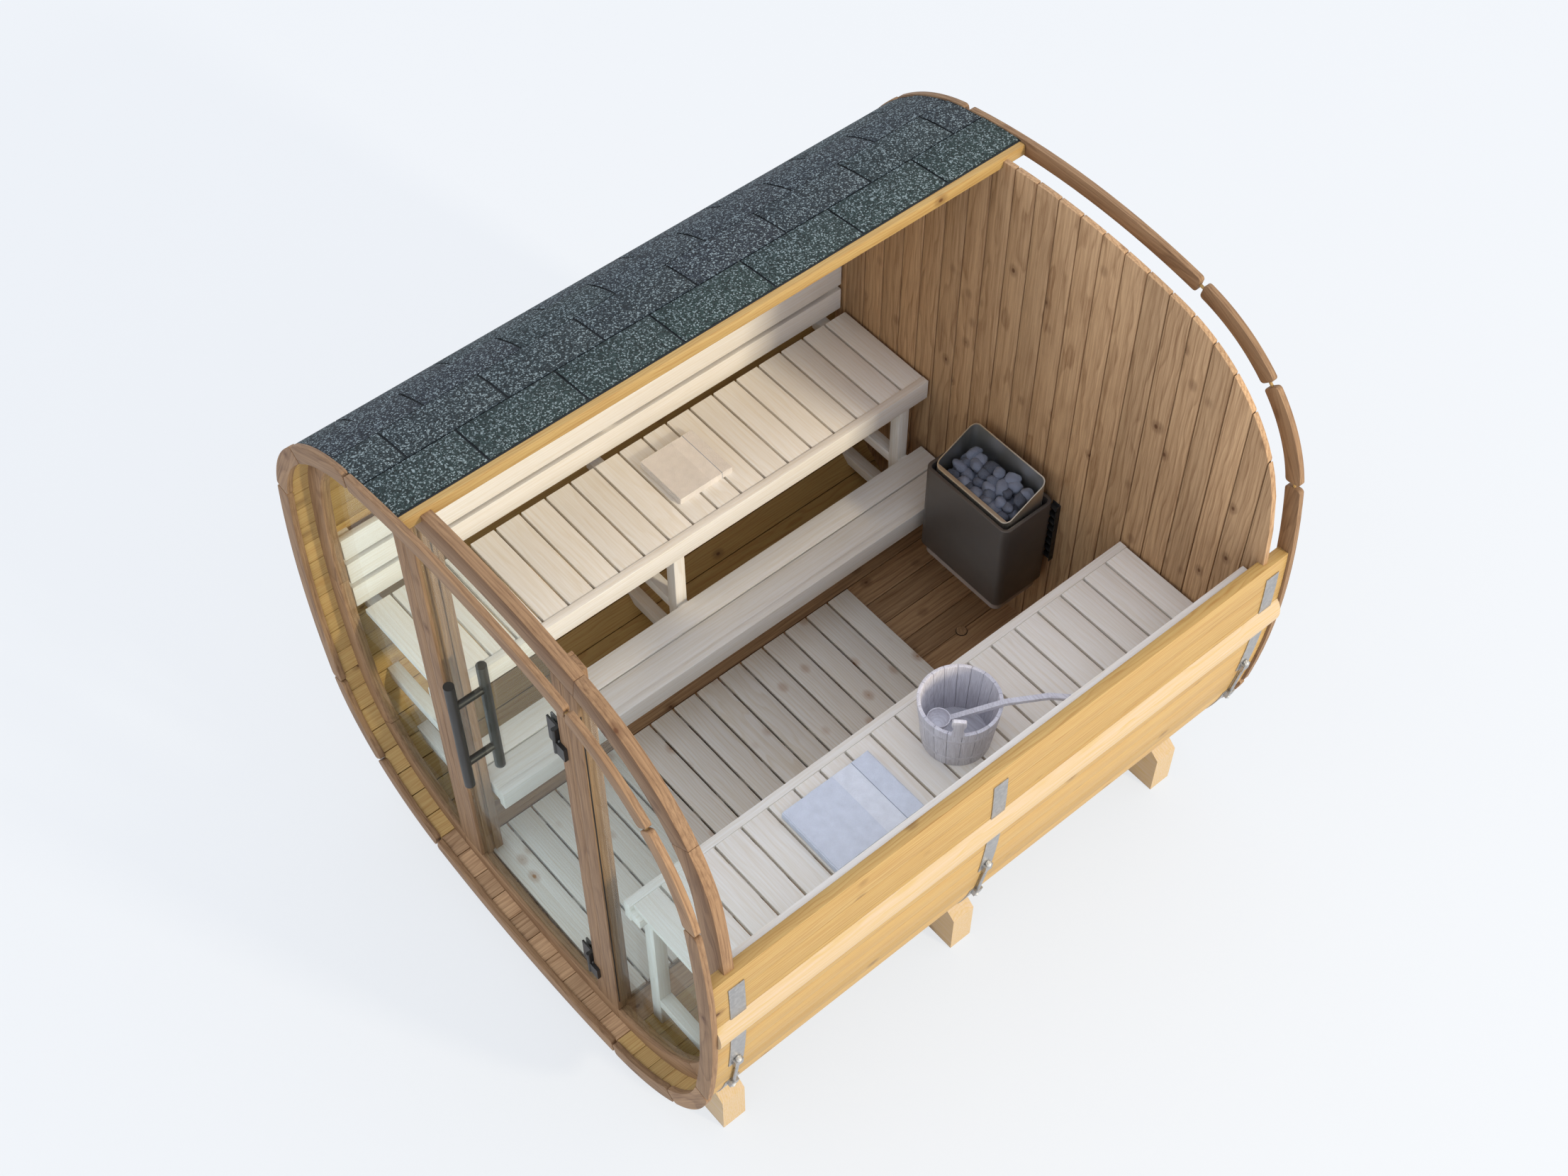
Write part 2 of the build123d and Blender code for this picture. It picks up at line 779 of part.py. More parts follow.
def ribbon(path, thickness):
    """Strip of this thickness that follows a path in the plane y = 0."""
    over, under = [], []
    for k, point in enumerate(path):
        ahead = (path[min(k + 1, len(path) - 1)] - path[max(k - 1, 0)]).normalized()
        side = Vector(-ahead.Z, 0, ahead.X) * (thickness / 2)
        over.append(point + side)
        under.append(point - side)
    return make_face(Polyline(*over, *under[::-1], close=True))


# The ladle's bowl hangs inside the bucket, and its stick lies over the rim and then levels out
bowl = Sphere(ladle_bowl_radius) - Sphere(ladle_bowl_radius - ladle_wall)
bowl -= Pos(0, 0, ladle_bowl_radius) * Box(*(3 * [2 * ladle_bowl_radius]))
stick_start = Vector(ladle_bowl_radius - ladle_wall, 0, -ladle_stick_thickness / 2)
stick_lean = atan2(ladle_bowl_drop - stick_start.Z, ladle_rim_reach - stick_start.X)
lift = ladle_stick_thickness / 2 + seat_clearance
stick_rest = Vector(
    ladle_rim_reach - lift * sin(stick_lean), 0, ladle_bowl_drop + lift * cos(stick_lean)
)
stick_over = stick_rest + Vector(cos(stick_lean), 0, sin(stick_lean)) * (2 * bucket_wall)
stick_path = [
    stick_start, stick_over, stick_rest + Vector(ladle_mid_reach, 0, ladle_mid_rise),
    stick_rest + Vector(ladle_end_reach, 0, ladle_end_rise),
]
stick = extrude(ribbon(stick_path, ladle_stick_thickness), ladle_stick_width / 2, both=True)
stick -= Sphere(ladle_bowl_radius - ladle_wall)
ladle_place = Pos(
    bucket_x + ladle_bucket_x, bucket_y + ladle_bucket_y,
    bucket_base + bucket_height - ladle_bowl_drop,
) * Rot(0, 0, ladle_turn)
nodes["ladle"] = ladle_place * (bowl + stick)

# Folded towels
towel_base = seat_height + seat_clearance


def towel(x, y, size):
    return Pos(x, y, towel_base + size[2] / 2) * Box(*size)


nodes["towel_blue"] = towel(seat_middle_x + towel_blue_seat_x, towel_blue_y, towel_blue_size)
nodes["towel_beige"] = towel(
    -seat_middle_x + towel_beige_seat_x, towel_beige_y, towel_beige_size
)

os.makedirs("parts", exist_ok=True)
for name, shape in nodes.items():
    pieces = shape if isinstance(shape, list) else [shape]
    solids = [solid for piece in pieces for solid in piece.solids()]
    export_step(solids[0] if len(solids) == 1 else Compound(children=solids), f"parts/{name}.step")
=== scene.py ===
import random
from math import asin, atan2, ceil, cos, degrees, hypot, pi, radians, sin, sqrt

import bmesh
import bpy
from bpy.props import FloatProperty, FloatVectorProperty, IntProperty, PointerProperty
from mathutils import Matrix, Vector, noise


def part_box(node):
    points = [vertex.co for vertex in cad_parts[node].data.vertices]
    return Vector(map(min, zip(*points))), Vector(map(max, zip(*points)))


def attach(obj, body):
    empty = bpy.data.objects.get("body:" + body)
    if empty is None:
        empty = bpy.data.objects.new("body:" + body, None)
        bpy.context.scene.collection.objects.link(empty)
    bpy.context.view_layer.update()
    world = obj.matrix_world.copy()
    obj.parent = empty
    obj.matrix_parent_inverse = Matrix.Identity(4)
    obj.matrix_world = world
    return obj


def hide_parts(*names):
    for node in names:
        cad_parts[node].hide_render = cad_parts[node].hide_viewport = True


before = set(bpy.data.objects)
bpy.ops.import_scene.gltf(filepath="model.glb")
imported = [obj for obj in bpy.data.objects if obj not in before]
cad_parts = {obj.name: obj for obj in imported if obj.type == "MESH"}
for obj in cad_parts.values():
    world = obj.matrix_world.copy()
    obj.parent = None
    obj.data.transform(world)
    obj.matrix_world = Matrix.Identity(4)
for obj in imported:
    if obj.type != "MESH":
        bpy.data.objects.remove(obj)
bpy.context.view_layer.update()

bl_info = {
    "name": "Barrel sauna",
    "version": (1, 0, 0),
    "blender": (4, 5, 0),
    "location": "View3D > Sidebar > Sauna",
    "description": "Dresses the packed barrel sauna: staves, shingles, benches, heater and glass",
    "category": "Add Mesh",
}

MM = 0.001


def box_of(*nodes):
    """Lowest and highest corner of several CAD nodes together, in metres."""
    lows, highs = zip(*map(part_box, nodes))
    return Vector(list(map(min, *lows))), Vector(list(map(max, *highs)))


def linear(code, alpha=1.0):
    """Linear colour for a hex sRGB code."""
    parts = [int(code[k:k + 2], 16) / 255 for k in (0, 2, 4)]
    curve = [c / 12.92 if c <= 0.04045 else ((c + 0.055) / 1.055) ** 2.4 for c in parts]
    return (*curve, alpha)


# The barrel's section: eight arcs that meet in line. A place on it is named by the direction
# that it faces, in degrees up from +X, and by its depth in from the outer edge of the rings.
ring_low, ring_high = box_of("front_fascia_boards_a", "front_fascia_boards_b")
HALF_WIDTH = (ring_high.x - ring_low.x) / 2
HALF_HEIGHT = (ring_high.z - ring_low.z) / 2
MIDDLE = (ring_high.z + ring_low.z) / 2
SIDE_RADIUS = 2914 * MM
TOP_RADIUS = 2572 * MM
CORNER_RADIUS = 623 * MM
STAVE_OUT = 10 * MM
STAVE_IN = 50 * MM
WALL_EDGE = 24 * MM
RING_DEPTH = 56 * MM
FRAME_DEPTH = 88 * MM


def corner_centre():
    """Centre of the corner arc, tangent inside the side arc and the top arc."""
    side_x, top_z = HALF_WIDTH - SIDE_RADIUS, HALF_HEIGHT - TOP_RADIUS
    side_reach, top_reach = SIDE_RADIUS - CORNER_RADIUS, TOP_RADIUS - CORNER_RADIUS
    span = hypot(side_x, top_z)
    along = (side_reach**2 - top_reach**2 + span**2) / (2 * span)
    across = sqrt(side_reach**2 - along**2)
    ux, uz = -side_x / span, top_z / span
    return side_x + along * ux - across * uz, along * uz + across * ux


CORNER_X, CORNER_Z = corner_centre()
SIDE_X, TOP_Z = HALF_WIDTH - SIDE_RADIUS, HALF_HEIGHT - TOP_RADIUS
SIDE_TURN = degrees(atan2(CORNER_Z, CORNER_X - SIDE_X))
TOP_TURN = degrees(atan2(CORNER_Z - TOP_Z, CORNER_X))
ARCS = [
    (turn + lap, x, z, radius)
    for lap in (-360, 0, 360)
    for turn, x, z, radius in (
        (-SIDE_TURN, SIDE_X, 0, SIDE_RADIUS),
        (SIDE_TURN, CORNER_X, CORNER_Z, CORNER_RADIUS),
        (TOP_TURN, 0, TOP_Z, TOP_RADIUS),
        (180 - TOP_TURN, -CORNER_X, CORNER_Z, CORNER_RADIUS),
        (180 - SIDE_TURN, -SIDE_X, 0, SIDE_RADIUS),
        (180 + SIDE_TURN, -CORNER_X, -CORNER_Z, CORNER_RADIUS),
        (180 + TOP_TURN, 0, -TOP_Z, TOP_RADIUS),
        (360 - TOP_TURN, CORNER_X, -CORNER_Z, CORNER_RADIUS),
    )
]


def arc_at(facing):
    return [arc for arc in ARCS if arc[0] <= facing + 1e-9][-1]


def spot(facing, depth, y=0.0):
    """Point of the section that faces this way, this deep, at this y."""
    _, x, z, radius = arc_at(facing)
    reach, turn = radius - depth, radians(facing)
    return Vector((x + reach * cos(turn), y, MIDDLE + z + reach * sin(turn)))


def steps(start, end, step=2.0):
    """Facings from start to end, about a step apart."""
    count = max(2, ceil((end - start) / step))
    return [start + (end - start) * k / count for k in range(count + 1)]


def facings_apart(start, end, gap, depth):
    """Facings from start to end that are about this gap apart round the section."""
    turns, lengths = steps(start, end, 0.25), [0.0]
    for a, b in zip(turns, turns[1:]):
        lengths.append(lengths[-1] + (spot(a, depth) - spot(b, depth)).length)
    count = max(1, round(lengths[-1] / gap))
    marks = []
    for k in range(count):
        target = lengths[-1] * k / count
        marks.append(turns[max(i for i, reach in enumerate(lengths) if reach <= target + 1e-9)])
    return marks + [end]


def facings_every(start, end, gap, depth):
    """Facings from start on, each this gap further round, and then the end."""
    turns, marks, reach = steps(start, end, 0.1), [start], 0.0
    for a, b in zip(turns, turns[1:]):
        reach += (spot(a, depth) - spot(b, depth)).length
        if reach >= gap:
            marks.append(b)
            reach = 0.0
    return marks + [end]


def moved(facing, length):
    """Facing this far round the outside from another, on the arc on that side of it."""
    nudge = 0.01 if length > 0 else -0.01
    return facing + degrees(length / arc_at(facing + nudge)[3])


def facing_of_height(height, depth):
    return degrees(asin((height - MIDDLE) / (SIDE_RADIUS - depth)))


class Boards:
    """Gathers the boards of one piece in one mesh, each with its own cut of the grain."""
    # How far along the rounding of a curved board's end its outline is drawn
    ROUNDING = (0, 0.08, 0.3, 0.62, 1)

    def __init__(self, seed, edge=2 * MM):
        self.random = random.Random(seed)
        self.edge = edge
        self.points, self.faces, self.grain, self.tone = [], [], [], []

    def take(self, part, shade, grain=None):
        """Adds a form in one shade, with its grain coordinates if it has them."""
        part.verts.index_update()
        start = len(self.points)
        for vert in part.verts:
            self.points.append(vert.co.copy())
            self.tone.append(shade)
            if grain is not None:
                self.grain.append(vert[grain].copy())
        self.faces += [[start + vert.index for vert in face.verts] for face in part.faces]
        part.free()

    def loft(self, rings, grain, edge=None, smooth=30, tone=None):
        """One board through rings of points. grain is the axis that its grain follows, or the
        same rings in grain coordinates."""
        if isinstance(grain, int):
            order = [grain] + [axis for axis in range(3) if axis != grain]
            grain = [[[point[axis] for axis in order] for point in ring] for ring in rings]
        part = bmesh.new()
        layer = part.verts.layers.float_vector.new("grain")
        shift = Vector([self.random.uniform(0, 40) for _ in range(3)])
        shift.y, shift.z = shift.y / 400, shift.z / 400
        shade = self.random.random() if tone is None else tone
        rows = []
        for ring, marks in zip(rings, grain):
            rows.append([part.verts.new(point) for point in ring])
            for vert, mark in zip(rows[-1], marks):
                vert[layer] = Vector(mark) + shift
        part.faces.new(rows[0][::-1])
        part.faces.new(rows[-1])
        for low, high in zip(rows, rows[1:]):
            for corners in zip(low, low[1:] + low[:1], high[1:] + high[:1], high):
                part.faces.new(corners)
        bmesh.ops.recalc_face_normals(part, faces=part.faces)
        sharp = [e for e in part.edges if e.calc_face_angle(0) > radians(smooth)]
        bmesh.ops.bevel(
            part, geom=sharp, offset=edge or self.edge, segments=2, profile=0.5,
            affect="EDGES", clamp_overlap=True,
        )
        self.take(part, shade, layer)

    def box(self, low, high, along, edge=None):
        """Straight board between two corners. along is the axis that its grain follows."""
        (x0, x1), (y0, y1), (z0, z1) = map(sorted, zip(low, high))
        rings = [[(x0, y0, z), (x1, y0, z), (x1, y1, z), (x0, y1, z)] for z in (z0, z1)]
        self.loft(rings, along, edge)

    def bent(self, start, end, outer, inner, y0, y1, ends=0.0):
        """Curved board in a plane across the barrel. ends is how much its ends are rounded."""
        rings, marks = [], []
        turns = steps(start, end, 1.5)
        if ends:
            round_turn = degrees(ends / (arc_at(start)[3] - outer))
            lead = [start + round_turn * t for t in self.ROUNDING]
            tail = [end - round_turn * t for t in self.ROUNDING[::-1]]
            turns = lead + steps(lead[-1], tail[0], 1.5)[1:-1] + tail
        # A curved board is sawn from a straight one, so its grain follows its chord
        first, last = (spot(turn, (outer + inner) / 2) for turn in (start, end))
        chord = (last - first).normalized()
        across = Vector((-chord.z, 0, chord.x))
        for turn in turns:
            nip = 0.0
            if ends:
                reach = max(0.0, 1 - min(turn - start, end - turn) / round_turn)
                nip = ends * (1 - sqrt(max(0.0, 1 - reach**2)))
            a, b = outer + nip, inner - nip
            loop = [spot(turn, depth, y) for depth, y in ((a, y0), (b, y0), (b, y1), (a, y1))]
            rings.append(loop)
            marks.append([((p - first).dot(chord), (p - first).dot(across), p.y) for p in loop])
        self.loft(rings, marks, smooth=45)

    def rod(self, start, end, radius, sides=12):
        """Bar from one point to another, round or with this many flats."""
        axis = (end - start).normalized()
        side = axis.orthogonal().normalized()
        up = axis.cross(side)
        turns = [2 * pi * k / sides for k in range(sides)]
        rings = [[at + (side * cos(t) + up * sin(t)) * radius for t in turns]
                 for at in (start, end)]
        marks = [[[(p - start).dot(way) for way in (axis, side, up)] for p in ring]
                 for ring in rings]
        self.loft(rings, marks, 0.8 * MM, smooth=50)

    def stave(self, start, end, outer, inner, y0, y1, edge=None):
        """Board that runs along the barrel and takes this much of its section."""
        turns = steps(start, end, 2.5)
        loop = [(turn, outer) for turn in turns] + [(turn, inner) for turn in turns[::-1]]
        rings = [[spot(turn, depth, y) for turn, depth in loop] for y in (y0, y1)]
        marks = [[(y, (spot(turn, outer) - spot(start, outer)).length, depth)
                  for turn, depth in loop] for y in (y0, y1)]
        self.loft(rings, marks, edge)

    def plate(self, outline, y0, y1, lying=False):
        """Board with an outline in x and z, and upright grain unless it is lying."""
        rings = [[(x, y, z) for x, z in outline] for y in (y0, y1)]
        marks = [[(x, z, y) if lying else (z, x, y) for x, z in outline] for y in (y0, y1)]
        self.loft(rings, marks)

    def piece(self, name, material, slot, node=None, smooth=35):
        """Makes the object from what was gathered. It can stand for a CAD node."""
        mesh = bpy.data.meshes.new(name)
        mesh.from_pydata([tuple(point) for point in self.points], [], self.faces)
        mesh.validate()
        for label, kind, field, values in (
            ("grain", "FLOAT_VECTOR", "vector", [v for place in self.grain for v in place]),
            ("tone", "FLOAT", "value", self.tone),
        ):
            if values:
                mesh.attributes.new(label, kind, "POINT").data.foreach_set(field, values)
        mesh.shade_smooth()
        mesh.set_sharp_from_angle(angle=radians(smooth))
        piece = bpy.data.objects.new(name, mesh)
        bpy.context.collection.objects.link(piece)
        mesh.materials.append(finish(material))
        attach(piece, "root")
        if node:
            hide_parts(node)
        return piece


def dress(material, *nodes):
    """Gives CAD nodes that keep their own shape this finish."""
    for node in nodes:
        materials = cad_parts[node].data.materials
        materials.clear()
        materials.append(finish(material))


# Materials

def add(tree, kind, inputs=None, stops=None, **settings):
    """Adds a node with its settings, values and links. An input goes by its name, or by its
    number among those in use, and a node as a value links from its first output in use."""
    node = tree.nodes.new("ShaderNode" + kind)
    for key, value in settings.items():
        setattr(node, key, value)
    if stops:
        elements = node.color_ramp.elements
        while len(elements) < len(stops):
            elements.new(1)
        for element, (place, colour) in zip(elements, stops):
            element.position, element.color = place, colour
    sockets = [socket for socket in node.inputs if socket.enabled]
    for key, value in (inputs or {}).items():
        socket = sockets[key] if isinstance(key, int) else node.inputs[key]
        if isinstance(value, bpy.types.Node):
            value = next(output for output in value.outputs if output.enabled)
        if isinstance(value, bpy.types.NodeSocket):
            tree.links.new(value, socket)
        else:
            socket.default_value = value
    return node


def planed_wood(tree, early, late, knot, ring_mm, knots, spread, rough, figure, axis=None):
    """Planed softwood board, sawn near flat: bands of pale early wood and thin dark late wood
    follow the board, with darker streaks, fine fibres and a few knots in a dark halo. Growth
    rings are circles round the board's heart, so faces, edges and ends show their own cut."""
    if axis is None:
        place = add(tree, "Attribute", attribute_name="grain").outputs["Vector"]
    else:
        turn = ((0, 0, 0), (0, 0, -pi / 2))[axis]
        place = add(tree, "TexCoord").outputs["Object"]
        place = add(tree, "Mapping", {0: place, "Rotation": turn})

    def clouds(scale, detail):
        """Noise stretched along the board."""
        slim = add(tree, "VectorMath", {0: place, 1: scale}, operation="MULTIPLY")
        return add(tree, "TexNoise", {"Vector": slim, "Scale": 1.0, "Detail": detail,
                                      "Roughness": 0.62})

    # Grain wanders 10 mm to the side over about 400 mm of board
    sway = clouds((2.4, 12, 12), 2.0).outputs["Color"]
    sway = add(tree, "VectorMath", {0: sway, 1: (0.5, 0.5, 0.5)}, operation="SUBTRACT")
    sway = add(tree, "VectorMath", {0: sway, 1: (0, 0.04, 0.04)}, operation="MULTIPLY")
    bent = add(tree, "VectorMath", {0: place, 1: sway}, operation="ADD")
    # Wave rings repeat every 2 pi / 20 of a unit, so this scale gives ring_mm between rings
    rings = add(tree, "TexWave",
                {"Vector": bent, "Scale": 2 * pi / 20 / (ring_mm * MM), "Distortion": 0.6,
                 "Detail": 2.0, "Detail Scale": 0.6},
                wave_type="RINGS", rings_direction="X", wave_profile="SAW")
    band = add(tree, "ValToRGB", {0: rings.outputs["Fac"]},
               stops=[(at, (grey, grey, grey, 1))
                      for at, grey in ((0.0, 0), (0.55, 0.2), (0.88, 1), (1.0, 0))])
    grain = add(tree, "Math", {0: band, 1: figure}, operation="MULTIPLY")
    # Streaks are about 6 mm wide and 250 mm long, fibres 0.8 mm wide and 40 mm long
    for scale, detail, low, high, top in (((4, 150, 150), 4.0, 0.38, 0.72, 0.55),
                                          ((25, 1250, 1250), 3.0, 0.3, 0.7, 0.25)):
        part = add(tree, "MapRange", {"Value": clouds(scale, detail), "From Min": low,
                                      "From Max": high, "To Max": top})
        grain = add(tree, "Math", {0: grain, 1: part}, operation="ADD", use_clamp=True)
    colour = add(tree, "Mix", {0: grain, 1: early, 2: late}, data_type="RGBA")
    # Knots are 9 to 17 mm across, in a halo of dark wood about 40 mm long
    spots = add(tree, "VectorMath", {0: place, 1: (9, 13, 13)}, operation="MULTIPLY")
    cell = add(tree, "TexVoronoi", {"Vector": spots, "Scale": 1.0})
    pick = add(tree, "SeparateColor", {0: cell.outputs["Color"]})
    held = add(tree, "Math", {0: pick, 1: knots}, operation="LESS_THAN")
    for reach, strength in ((0.32, 0.4), (0.12, 0.9)):
        eye = add(tree, "MapRange",
                  {"Value": cell, "From Min": reach * 0.4, "From Max": reach,
                   "To Min": strength, "To Max": 0.0}, interpolation_type="SMOOTHSTEP")
        eye = add(tree, "Math", {0: eye, 1: held}, operation="MULTIPLY")
        colour = add(tree, "Mix", {0: eye, 1: colour, 2: knot}, data_type="RGBA")
    tone = add(tree, "Attribute", attribute_name="tone").outputs["Fac"]
    value = add(tree, "MapRange", {"Value": tone, "To Min": 1 - spread, "To Max": 1 + spread / 3})
    colour = add(tree, "HueSaturation", {"Value": value, "Color": colour})
    bump = add(tree, "Bump", {"Height": grain, "Strength": 0.25, "Distance": 0.4 * MM})
    return add(tree, "BsdfPrincipled", {"Base Color": colour, "Roughness": rough,
                                        "Normal": bump, "Specular IOR Level": 0.3})


def mineral_felt(tree, slate, moss, fleck):
    """Bitumen roofing felt covered with crushed slate: matt, with dark and pale granules mixed
    grain by grain, and whole tabs that lean to blue or to green."""
    place = add(tree, "TexCoord").outputs["Object"]
    tone = add(tree, "Attribute", attribute_name="tone").outputs["Fac"]
    # Real granules are 1 to 2 mm; they are drawn 4 mm wide so that the render shows them
    grit = add(tree, "TexVoronoi", {"Vector": place, "Scale": 1 / (4 * MM)})
    pick = add(tree, "SeparateColor", {0: grit.outputs["Color"]})
    base = add(tree, "Mix", {0: tone, 1: slate, 2: moss}, data_type="RGBA")
    depth = add(tree, "MapRange", {"Value": pick.outputs[1], "To Min": 0.35, "To Max": 1.5})
    base = add(tree, "HueSaturation", {"Value": depth, "Color": base})
    some = add(tree, "MapRange", {"Value": pick, "From Min": 0.7, "From Max": 1.0,
                                  "To Max": 0.75})
    colour = add(tree, "Mix", {0: some, 1: base, 2: fleck}, data_type="RGBA")
    bump = add(tree, "Bump", {"Height": grit, "Strength": 0.5, "Distance": 1 * MM})
    return add(tree, "BsdfPrincipled", {"Base Color": colour, "Roughness": 0.9, "Normal": bump})


def smooth_skin(tree, colour, rough=0.45, metal=0.0):
    """Even skin with the faint orange peel of sprayed powder. Baked on steel it is satin, and as
    moulded rubber or bare bitumen it is dull; the dark bare bitumen in the shingles' joints is
    partly painted shadow."""
    place = add(tree, "TexCoord").outputs["Object"]
    # The peel is about 0.6 mm across, in swells of four times that
    peel = add(tree, "TexNoise", {"Vector": place, "Scale": 1 / (0.6 * 4 * MM)})
    cloud = add(tree, "TexNoise", {"Vector": place, "Scale": 12.0, "Detail": 3.0})
    dull = add(tree, "MapRange", {"Value": cloud, "To Min": rough - 0.08, "To Max": rough + 0.12})
    bump = add(tree, "Bump", {"Height": peel, "Strength": 0.12, "Distance": 0.2 * MM})
    return add(tree, "BsdfPrincipled", {"Base Color": colour, "Roughness": dull,
                                        "Metallic": metal, "Normal": bump})


def drawn_metal(tree, colour, rough, spangle_mm=0.0):
    """Bare metal, brushed or hot dip galvanised: galvanising leaves zinc spangles that differ in
    brightness, brushing leaves fine lines."""
    place = add(tree, "TexCoord").outputs["Object"]
    if spangle_mm:
        cells = add(tree, "TexVoronoi", {"Vector": place, "Scale": 1 / (spangle_mm * MM)})
        pick = add(tree, "SeparateColor", {0: cells.outputs["Color"]})
    else:
        lines = add(tree, "Mapping", {0: place, "Scale": (2500, 2500, 40)})
        pick = add(tree, "TexNoise", {"Vector": lines, "Scale": 1.0})
    value = add(tree, "MapRange", {"Value": pick, "To Min": 0.82, "To Max": 1.08})
    tint = add(tree, "HueSaturation", {"Value": value, "Color": colour})
    dull = add(tree, "MapRange", {"Value": pick, "To Min": rough - 0.06, "To Max": rough + 0.1})
    return add(tree, "BsdfPrincipled", {"Base Color": tint, "Metallic": 1.0, "Roughness": dull})


def float_glass(tree, tint):
    """Clear toughened glass, flat and polished: nearly colourless through the pane, with a
    faint green cast in its body. The surface is drawn with a trace of roller wave."""
    place = add(tree, "TexCoord").outputs["Object"]
    wave = add(tree, "TexNoise", {"Vector": place, "Scale": 3.0})
    bump = add(tree, "Bump", {"Height": wave, "Strength": 0.02, "Distance": 1 * MM})
    gloss = add(tree, "BsdfPrincipled", {"Base Color": tint, "Roughness": 0.02, "IOR": 1.45,
                                         "Transmission Weight": 1.0, "Normal": bump})
    clear = add(tree, "BsdfTransparent", {"Color": tint})
    # Most of the view goes straight through, and the rest keeps the pane's gloss
    return add(tree, "MixShader", {0: 0.92, 1: gloss, 2: clear})


def looped_cotton(tree, colour, band, seam, node):
    """Terry towelling: dense cotton loops about 2 mm across that scatter light and soften every
    edge, with a flat woven border near the end."""
    (_, y0, _), (_, y1, _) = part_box(node)
    low, high = y0 + 0.58 * (y1 - y0), y0 + 0.8 * (y1 - y0)
    place = add(tree, "TexCoord").outputs["Object"]
    loops = add(tree, "TexVoronoi", {"Vector": place, "Scale": 1 / (3.2 * MM)})
    cloud = add(tree, "TexNoise", {"Vector": place, "Scale": 30.0, "Detail": 4.0})
    value = add(tree, "MapRange", {"Value": cloud, "To Min": 0.86, "To Max": 1.12})
    y = add(tree, "SeparateXYZ", {0: place}).outputs[1]
    for middle, reach, other in (((low + high) / 2, (high - low) / 2, band),
                                 (high, 1.2 * MM, seam)):
        inside = add(tree, "Math", {0: y, 1: middle, 2: reach}, operation="COMPARE")
        colour = add(tree, "Mix", {0: inside, 1: colour, 2: other}, data_type="RGBA")
    colour = add(tree, "HueSaturation", {"Value": value, "Color": colour})
    bump = add(tree, "Bump", {"Height": loops, "Strength": 0.8, "Distance": 1.5 * MM})
    return add(tree, "BsdfPrincipled", {"Base Color": colour, "Roughness": 0.95,
                                        "Sheen Weight": 0.35, "Sheen Roughness": 0.5,
                                        "Normal": bump})


def olivine_stone(tree, low, high):
    """Broken olivine diabase: matt grey with a grain of light and dark crystals."""
    place = add(tree, "TexCoord").outputs["Object"]
    tone = add(tree, "Attribute", attribute_name="tone").outputs["Fac"]
    cloud = add(tree, "TexNoise", {"Vector": place, "Scale": 330.0, "Detail": 4.0,
                                   "Roughness": 0.8})
    mix = add(tree, "Math", {0: cloud, 1: tone}, operation="ADD")
    mix = add(tree, "MapRange", {"Value": mix, "From Min": 0.35, "From Max": 1.25})
    colour = add(tree, "Mix", {0: mix, 1: low, 2: high}, data_type="RGBA")
    bump = add(tree, "Bump", {"Height": cloud, "Strength": 0.5, "Distance": 2 * MM})
    return add(tree, "BsdfPrincipled", {"Base Color": colour, "Roughness": 0.85, "Normal": bump})


def seen(tree):
    """1 where the camera looks, straight, in a reflection or through glass."""
    path = add(tree, "LightPath")
    found = path.outputs["Is Camera Ray"]
    for ray in ("Is Glossy Ray", "Is Transmission Ray"):
        found = add(tree, "Math", {0: found, 1: path.outputs[ray]}, operation="MAXIMUM")
    return found


def matt_paper(tree):
    """Plain pale floor: near white to the camera, and it keeps the barrel's shadow."""
    place = add(tree, "TexCoord").outputs["Object"]
    cloud = add(tree, "TexNoise", {"Vector": place, "Scale": 2.0})
    tint = add(tree, "Mix", {0: cloud, 1: linear("E6E9EC"), 2: linear("E8EBEE")},
               data_type="RGBA")
    matt = add(tree, "BsdfPrincipled", {"Base Color": tint, "Roughness": 0.9})
    plain = add(tree, "Emission", {"Color": linear("EEF1F4"), "Strength": 1.0})
    # The part that isn't plain white is lit, so the shadow still falls on it
    share = add(tree, "Math", {0: seen(tree), 1: 0.8}, operation="MULTIPLY")
    return add(tree, "MixShader", {0: share, 1: matt, 2: plain})


